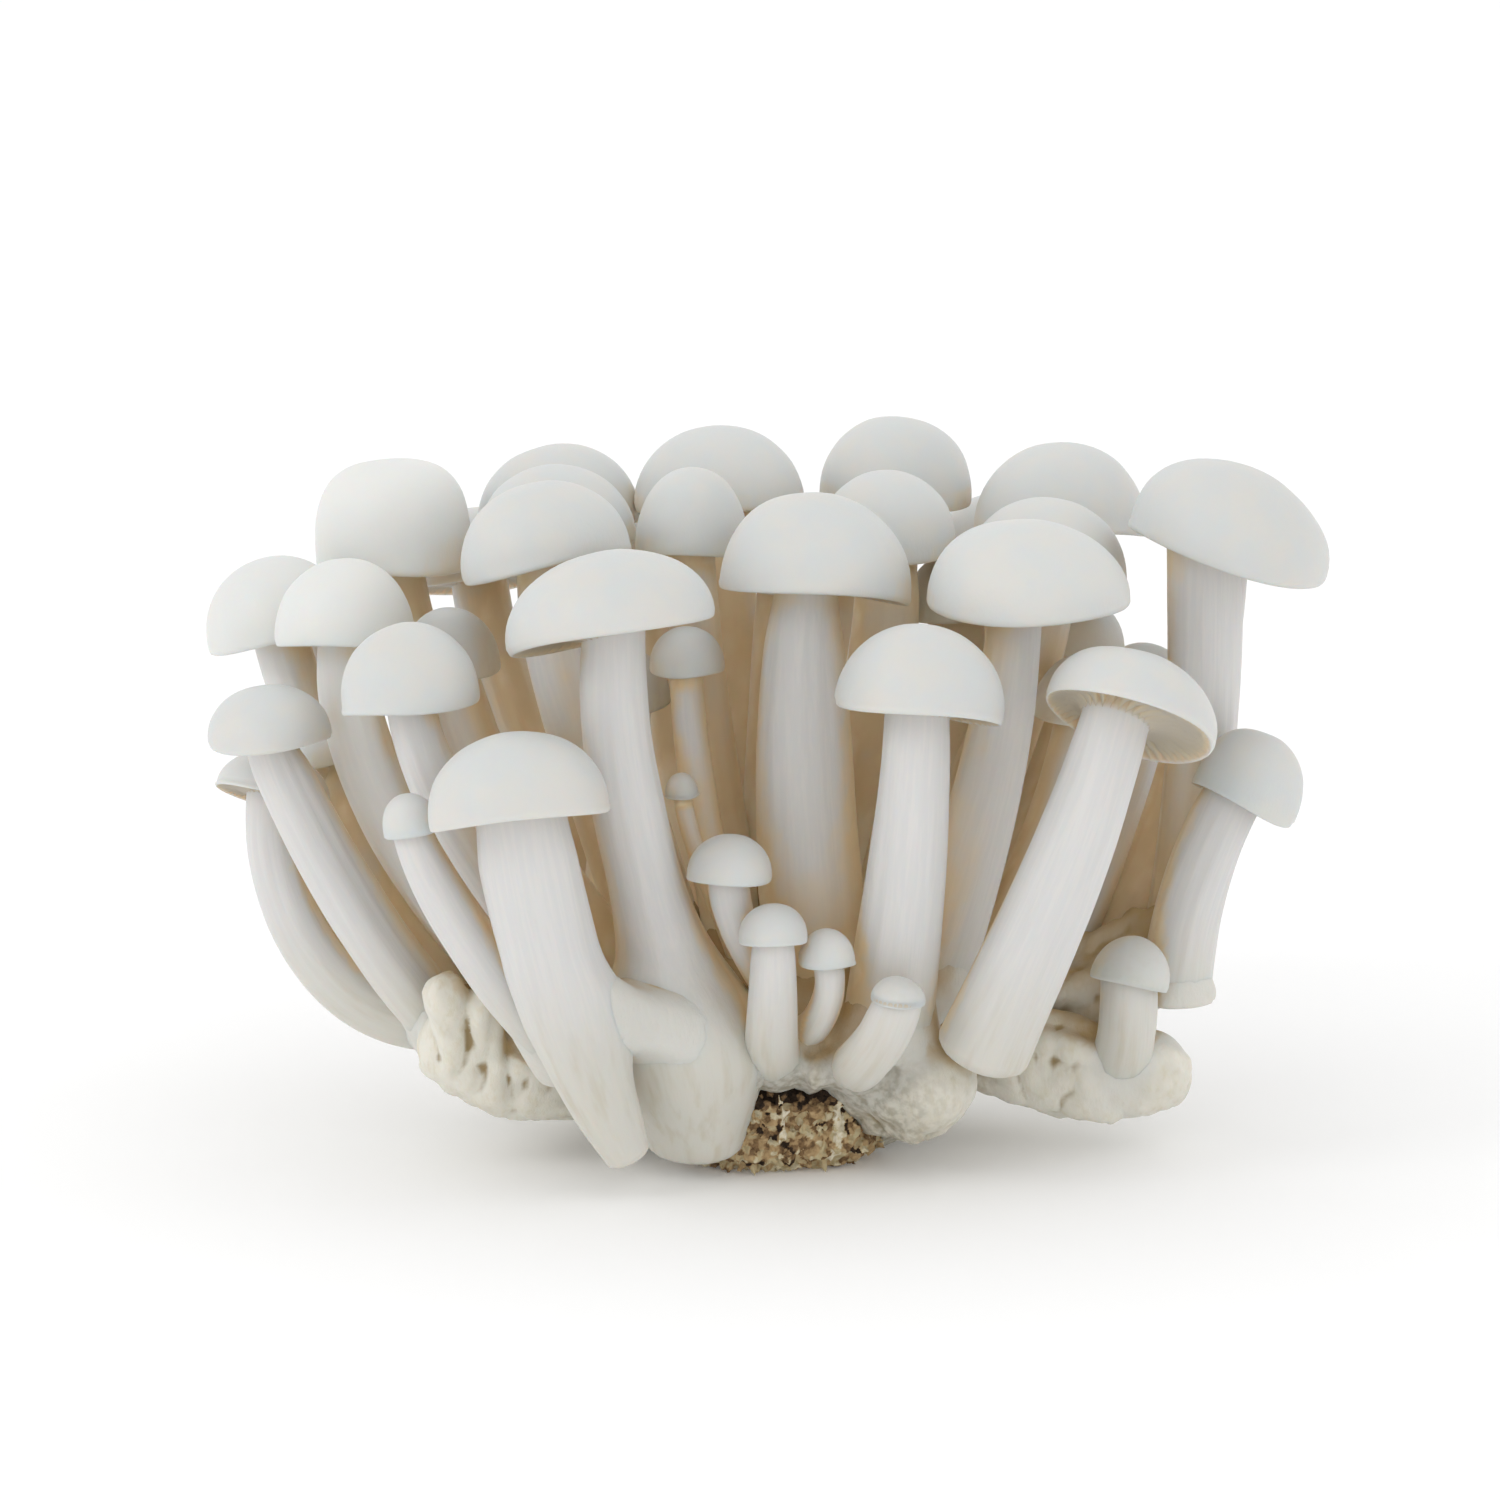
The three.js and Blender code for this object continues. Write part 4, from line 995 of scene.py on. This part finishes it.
def flesh_material():
    """Smooth moist caps, fine fibres along the stems, cream gills and greyer feet, with painted shade: a
    yellowish tint where little light reaches, painted bounce light where almost none does, and some caps
    painted paler as if more light fell on them.
    """
    shader = Shader("mushroom_flesh")
    grain = shader.mark("grain", vector=True)
    cap = shader.mark("cap")
    # Painted shade: how little light reaches each place, painted weaker on the caps.
    unlit = shader.curve(shader.mark("open"), 0.42, 0.08)
    depth = shader.product(unlit, shader.curve(cap, 0, 1, 1.0, 0.4))
    # Painted bounce light: where almost no light reaches, a paler colour.
    painted_bounce_share = shader.curve(shader.mark("open"), 0.16, 0.02)
    fibres = shader.grain(shader.stretched(grain, (2.2, 2.2, 1.0)), 1.0, 4.0)
    clouds = shader.grain(grain, 0.22, 2.0)
    stem = shader.blend(shader.curve(fibres, 0.42, 0.62), FLESH["streak"], FLESH["stem"])
    skin = shader.blend(shader.curve(clouds, 0.35, 0.7), FLESH["cap"], FLESH["rim"])
    # Painted light: some caps are painted paler, as if more light fell on them.
    colour = shader.blend(shader.mark("pale"), shader.blend(cap, stem, skin), FLESH["pale"])
    colour = shader.blend(shader.product(shader.mark("gill"), 0.85), colour, FLESH["cream"])
    foot = shader.product(shader.mark("foot"), shader.curve(clouds, 0.2, 0.8, 0.7, 1.0))
    mottle = shader.curve(shader.grain(grain, 0.8, 4.0), 0.45, 0.75, 0.0, 0.6)
    colour = shader.blend(foot, colour, shader.blend(mottle, FLESH["foot"], FLESH["mottle"]))
    # Paints the shade tint where little light reaches, and a paler bounce light where almost none does.
    colour = shader.blend(depth, colour, shader.blend(painted_bounce_share, FLESH["painted_shade_tint"], FLESH["deep"]))
    fine = shader.grain(shader.stretched(grain, (5.0, 5.0, 2.0)), 1.0, 5.0, 0.65)
    height = shader.sum(fibres, shader.product(fine, 0.6))
    return shader.finish(colour, shader.curve(fine, 0.3, 0.7, 0.4, 0.58), 0.4, {
        "Normal": shader.bump(height, 0.22, 0.12),
        "Sheen Weight": 0.08,
        "Sheen Roughness": 0.5,
    } | shader.soft(0.4, 2.2))


# The shade tint is painted shade where little light reaches the base, and the crease colour is painted shade
# in its creases.
TISSUE = dict(pale=linear(226, 223, 212), grey=linear(214, 211, 199), beige=linear(208, 200, 176),
              painted_crease_shade=linear(150, 130, 94), dotted=linear(128, 120, 98), painted_shade_tint=linear(196, 170, 126),
              sound=linear(212, 211, 205))


def base_material():
    """Knotted tissue: pale on its swellings, grey and dotted by the medium, with painted shade darker in its
    creases and yellowish where little light reaches.
    """
    shader = Shader("base_tissue")
    place = shader.place()
    patches = shader.grain(place, 160.0, 3.0)
    fine = shader.grain(shader.stretched(place, (1.0, 1.0, 0.5)), 900.0, 5.0, 0.65)
    crease = shader.mark("crease")
    # Painted shade: how little light reaches each place of the base.
    depth = shader.curve(shader.mark("open"), 0.55, 0.06)
    colour = shader.blend(shader.curve(patches, 0.38, 0.62), TISSUE["pale"], TISSUE["grey"])
    colour = shader.blend(shader.curve(fine, 0.45, 0.75, 0.0, 0.6), colour, TISSUE["beige"])
    # Painted shade: the creases are painted darker.
    colour = shader.blend(shader.curve(crease, 0.0, 0.24), colour, TISSUE["painted_crease_shade"])
    colour = shader.blend(shader.mark("sound"), colour, TISSUE["sound"])
    colour = shader.blend(depth, colour, TISSUE["painted_shade_tint"])
    dots = shader.curve(shader.grain(place, 1100.0, 3.0), 0.36, 0.68, 0.3, 0.75)
    colour = shader.blend(shader.product(dots, shader.mark("soiled")), colour, TISSUE["dotted"])
    height = shader.sum(patches, shader.product(fine, 0.8))
    bump = {"Normal": shader.bump(height, 0.6, 0.35)}
    return shader.finish(colour, shader.curve(fine, 0.3, 0.7, 0.55, 0.8), 0.3, bump | shader.soft(0.25, 1.5))


MEDIUM_TONES = [(stop, linear(*colour)) for stop, *colour in (
    (0, 34, 26, 20), (0.15, 76, 60, 45), (0.3, 146, 118, 84), (0.5, 188, 162, 122),
    (0.68, 190, 179, 144), (0.86, 216, 205, 177), (1, 228, 224, 212),
)]


def medium_material():
    """Flakes of sawdust and bran in several tones, each with a little grain."""
    shader = Shader("medium_crumbs")
    fine = shader.grain(shader.place(), 2600.0, 4.0, 0.6)
    tone = shader.sum(shader.mark("tone"), shader.curve(fine, 0.2, 0.8, -0.08, 0.08))
    bump = {"Normal": shader.bump(fine, 0.5, 0.15)}
    return shader.finish(shader.ramp(tone, MEDIUM_TONES), shader.curve(fine, 0.3, 0.7, 0.8, 1.0), 0.2, bump)


# ---------- putting it together ----------

def vertex_normals(points, faces):
    out = np.zeros_like(points)
    for face in faces:
        corners = points[face]
        out[face] += np.cross(corners[1] - corners[0], corners[2] - corners[0])
    return out / np.maximum(np.linalg.norm(out, axis=1, keepdims=True), 1e-9)


def add_mushrooms(coarse, openness):
    material = flesh_material()
    web_tree = tree_of(web())
    trees = []
    for index, rough in enumerate(coarse):
        shape = MUSHROOMS[index]
        skin = mushroom(index, SMALL if shape["size"][0] <= SMALL_CAP else LARGE)
        points = skin.points()
        low, high = points.min(axis=0), points.max(axis=0)
        normals = vertex_normals(points, skin.faces)
        for tree, other_low, other_high in trees:
            if np.all(low < other_high) and np.all(other_low < high):
                dent(points, normals, tree, other_low, other_high)
        trees.append((tree_of(rough), low, high))
        if index in FRONT_FEET:
            points = run_together(points, vertex_normals(points, skin.faces), web_tree, index)
        skin.places = [points]

        name = f"mushroom_{index + 1:02d}"
        piece = new_object(f"{name}_grown", [skin])
        mesh = piece.data
        marks = np.vstack(skin.marks)
        for mark, values in zip(MARKS, marks.T):
            set_mark(mesh, mark, values)
        set_mark(mesh, "grain", marks[:, len(MARKS):])
        set_mark(mesh, "foot", ease(points[:, 2], *FOOT_FADE))
        # How much paler the cap is painted, as painted light.
        set_mark(mesh, "pale", np.full(len(points), shape["pale"]))
        set_mark(mesh, "open", spread(openness[index], rough.points(), points))
        mesh.shade_smooth()
        mesh.materials.append(material)
        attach(piece, BODY)
        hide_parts(name)


KNOWN_EVERY = 9  # light is sampled at every ninth point of the base
BASE_LOWEST, MEDIUM_LOWEST = 0.05, 0.02
# The base's relief: how high it goes, and how far apart its swellings are.
LUMPS, WRINKLES, PITS, FOLDS = (0.35, 5.5), (0.2, 1.7), (0.25, 1.3), (0.3, 2.8)
SOILED_REACH, SOILED_HEIGHT = (15, 4), (15, 9)  # where the medium's dirt fades out on the base


def relief(places):
    """How far the base's skin is raised at each place by lumps, wrinkles, pits and folds, in millimetres."""
    lumps = LUMPS[0] * noise_at(places, 1 / LUMPS[1])
    wrinkles = WRINKLES[0] * noise_at(places * (1, 1, 0.4), 1 / WRINKLES[1], 40)
    pits = PITS[0] * np.minimum(0, noise_at(places, 1 / PITS[1], 80) + 0.25)
    folds = np.minimum(FOLDS[0], np.abs(noise_at(places * (1, 1, 0.3), 1 / FOLDS[1], 20)))
    return lumps + wrinkles + pits + folds


def add_base(tree):
    draw = seeded(STRAND_SEED)
    skins = [base_block(), *more_buttons(), *ridges(), web()]
    for shape in KNOTTED_LOBES:
        skins += [rod(*axis_and_girth(shape)), *strands(shape, draw)]
    skins += [button(**shape) for shape in BUTTONS]
    collars = [collar(shape) for shape in MUSHROOMS if not shape["bare"]]
    skins += [rod(*axis_and_girth(shape), blunt=0.05) for shape in collars]
    piece = new_object("base_tissue", skins)
    remesh(piece, VOXEL, smoothing=6)
    cut(piece, new_object("plug_tool", [plug(PLUG_CLEARANCE)]))
    mesh = piece.data
    places = read(mesh, "co") / MM
    middles, radii = web_section(0.5)
    at_web = near_rod(places, straight(*middles), lambda t: mix(*radii, t))
    closed = np.max([near_rod(places, *axis_and_girth(shape)) for shape in collars], axis=0)
    even = np.maximum(at_web, closed)
    places = relax(mesh, places, EVEN_ROUNDS, EVEN_WEIGHT * even[:, None])
    nearby = np.where(at_web > 0)[0]
    for index in FRONT_FEET:
        foot_tree = tree_of(mushroom(index, LARGE))
        places[nearby] = run_together(places[nearby], read(mesh, "normal")[nearby], foot_tree, index)
    set_places(mesh, places)
    normals = read(mesh, "normal")
    places = places + normals * (relief(places) * (1 - even))[:, None]
    places[:, 2] = np.maximum(places[:, 2], BASE_LOWEST)
    set_places(mesh, places)
    set_mark(mesh, "sound", np.maximum(at_web, 0.8 * closed))
    # How deep each place lies in a crease, for the painted shade in creases.
    set_mark(mesh, "crease", hollows(mesh, places))
    known = np.arange(0, len(places), KNOWN_EVERY)
    values = open_shares(tree, places[known], normals[known])
    set_mark(mesh, "open", spread(values, places[known], places))
    apart = np.hypot(places[:, 0] - MEDIUM_MIDDLE[0], places[:, 1] - MEDIUM_MIDDLE[1]) - MEDIUM_LEVELS[1][1]
    set_mark(mesh, "soiled", ease(apart, *SOILED_REACH) * ease(places[:, 2], *SOILED_HEIGHT))
    mesh.shade_smooth()
    mesh.materials.clear()
    mesh.materials.append(base_material())
    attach(piece, BODY)
    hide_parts("base")


def add_medium():
    rng = np.random.default_rng(MEDIUM_SEED)
    chips, tones = medium_chips(rng)
    strands = threads(rng)
    piece = new_object("growing_medium_crumbs", [plug(-PLUG_SUNK), *chips, *strands])
    remesh(piece, MEDIUM_VOXEL)
    mesh = piece.data
    places = read(mesh, "co") / MM
    places[:, 2] = np.maximum(places[:, 2], MEDIUM_LOWEST)
    set_places(mesh, places)
    thread_places = np.vstack([strand.points() for strand in strands])
    tree = nearest_of([*(flake.points().mean(axis=0) for flake in chips), *thread_places])
    tones = np.array(tones + [THREAD] * len(thread_places))
    set_mark(mesh, "tone", tones[[tree.find(place)[1] for place in places]])
    mesh.polygons.foreach_set("use_smooth", [False] * len(mesh.polygons))
    mesh.materials.append(medium_material())
    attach(piece, BODY)
    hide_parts("growing_medium")


def add_cluster():
    coarse = [mushroom(index, COARSE) for index in range(len(MUSHROOMS))]
    tree = tree_of(joined([*coarse, base_block()]))
    openness = []
    for skin in coarse:
        points = skin.points()
        openness.append(open_shares(tree, points, vertex_normals(points, skin.faces)))
    add_mushrooms(coarse, openness)
    add_base(tree)
    add_medium()


# ---------- floor, light and camera ----------

AIM, DISTANCE, ELEVATION = (-1.5, 0, 40), 550, radians(10)
LENS, SENSOR = 132, 36
FLOOR = 3  # half the floor's width, in metres


def add_floor():
    mesh = bpy.data.meshes.new("floor")
    corners = [(-FLOOR, -FLOOR, 0), (FLOOR, -FLOOR, 0), (FLOOR, FLOOR, 0), (-FLOOR, FLOOR, 0)]
    mesh.from_pydata(corners, [], [(0, 1, 2, 3)])
    floor = put_in_scene("floor", mesh)
    glow = {"Emission Color": (1, 1, 1, 1), "Emission Strength": 0.06}
    mesh.materials.append(Shader("pale_floor").finish((0.96, 0.96, 0.96, 1), 0.9, 0.1, glow))


def add_light(name, place, aim, size, power):
    data = bpy.data.lights.new(name, "AREA")
    data.shape = "DISK"
    data.size = size
    data.energy = power
    light = put_in_scene(name, data)
    light.location = place
    light.rotation_euler = (Vector(aim) - Vector(place)).to_track_quat("-Z", "Y").to_euler()


def add_lights():
    add_light("key", (-0.75, -0.5, 0.6), (0, 0, 0.04), size=0.4, power=1.2)
    add_light("fill", (0.1, -0.85, 0.22), (0, 0, 0.03), size=0.5, power=0.2)
    world = bpy.data.worlds.new("studio")
    world.use_nodes = True
    background = world.node_tree.nodes["Background"]
    background.inputs["Color"].default_value = (1, 1, 1, 1)
    background.inputs["Strength"].default_value = 1.0
    bpy.context.scene.world = world


def add_camera():
    data = bpy.data.cameras.new("camera")
    data.lens = LENS
    data.sensor_width = SENSOR
    camera = put_in_scene("camera", data)
    back_and_up = np.array([0, -cos(ELEVATION), sin(ELEVATION)])
    camera.location = (np.array(AIM) + DISTANCE * back_and_up) * MM
    camera.rotation_euler = (pi / 2 - ELEVATION, 0, 0)
    bpy.context.scene.camera = camera


add_camera()
add_lights()
add_floor()
add_cluster()
bpy.context.scene.view_settings.view_transform = "Standard"
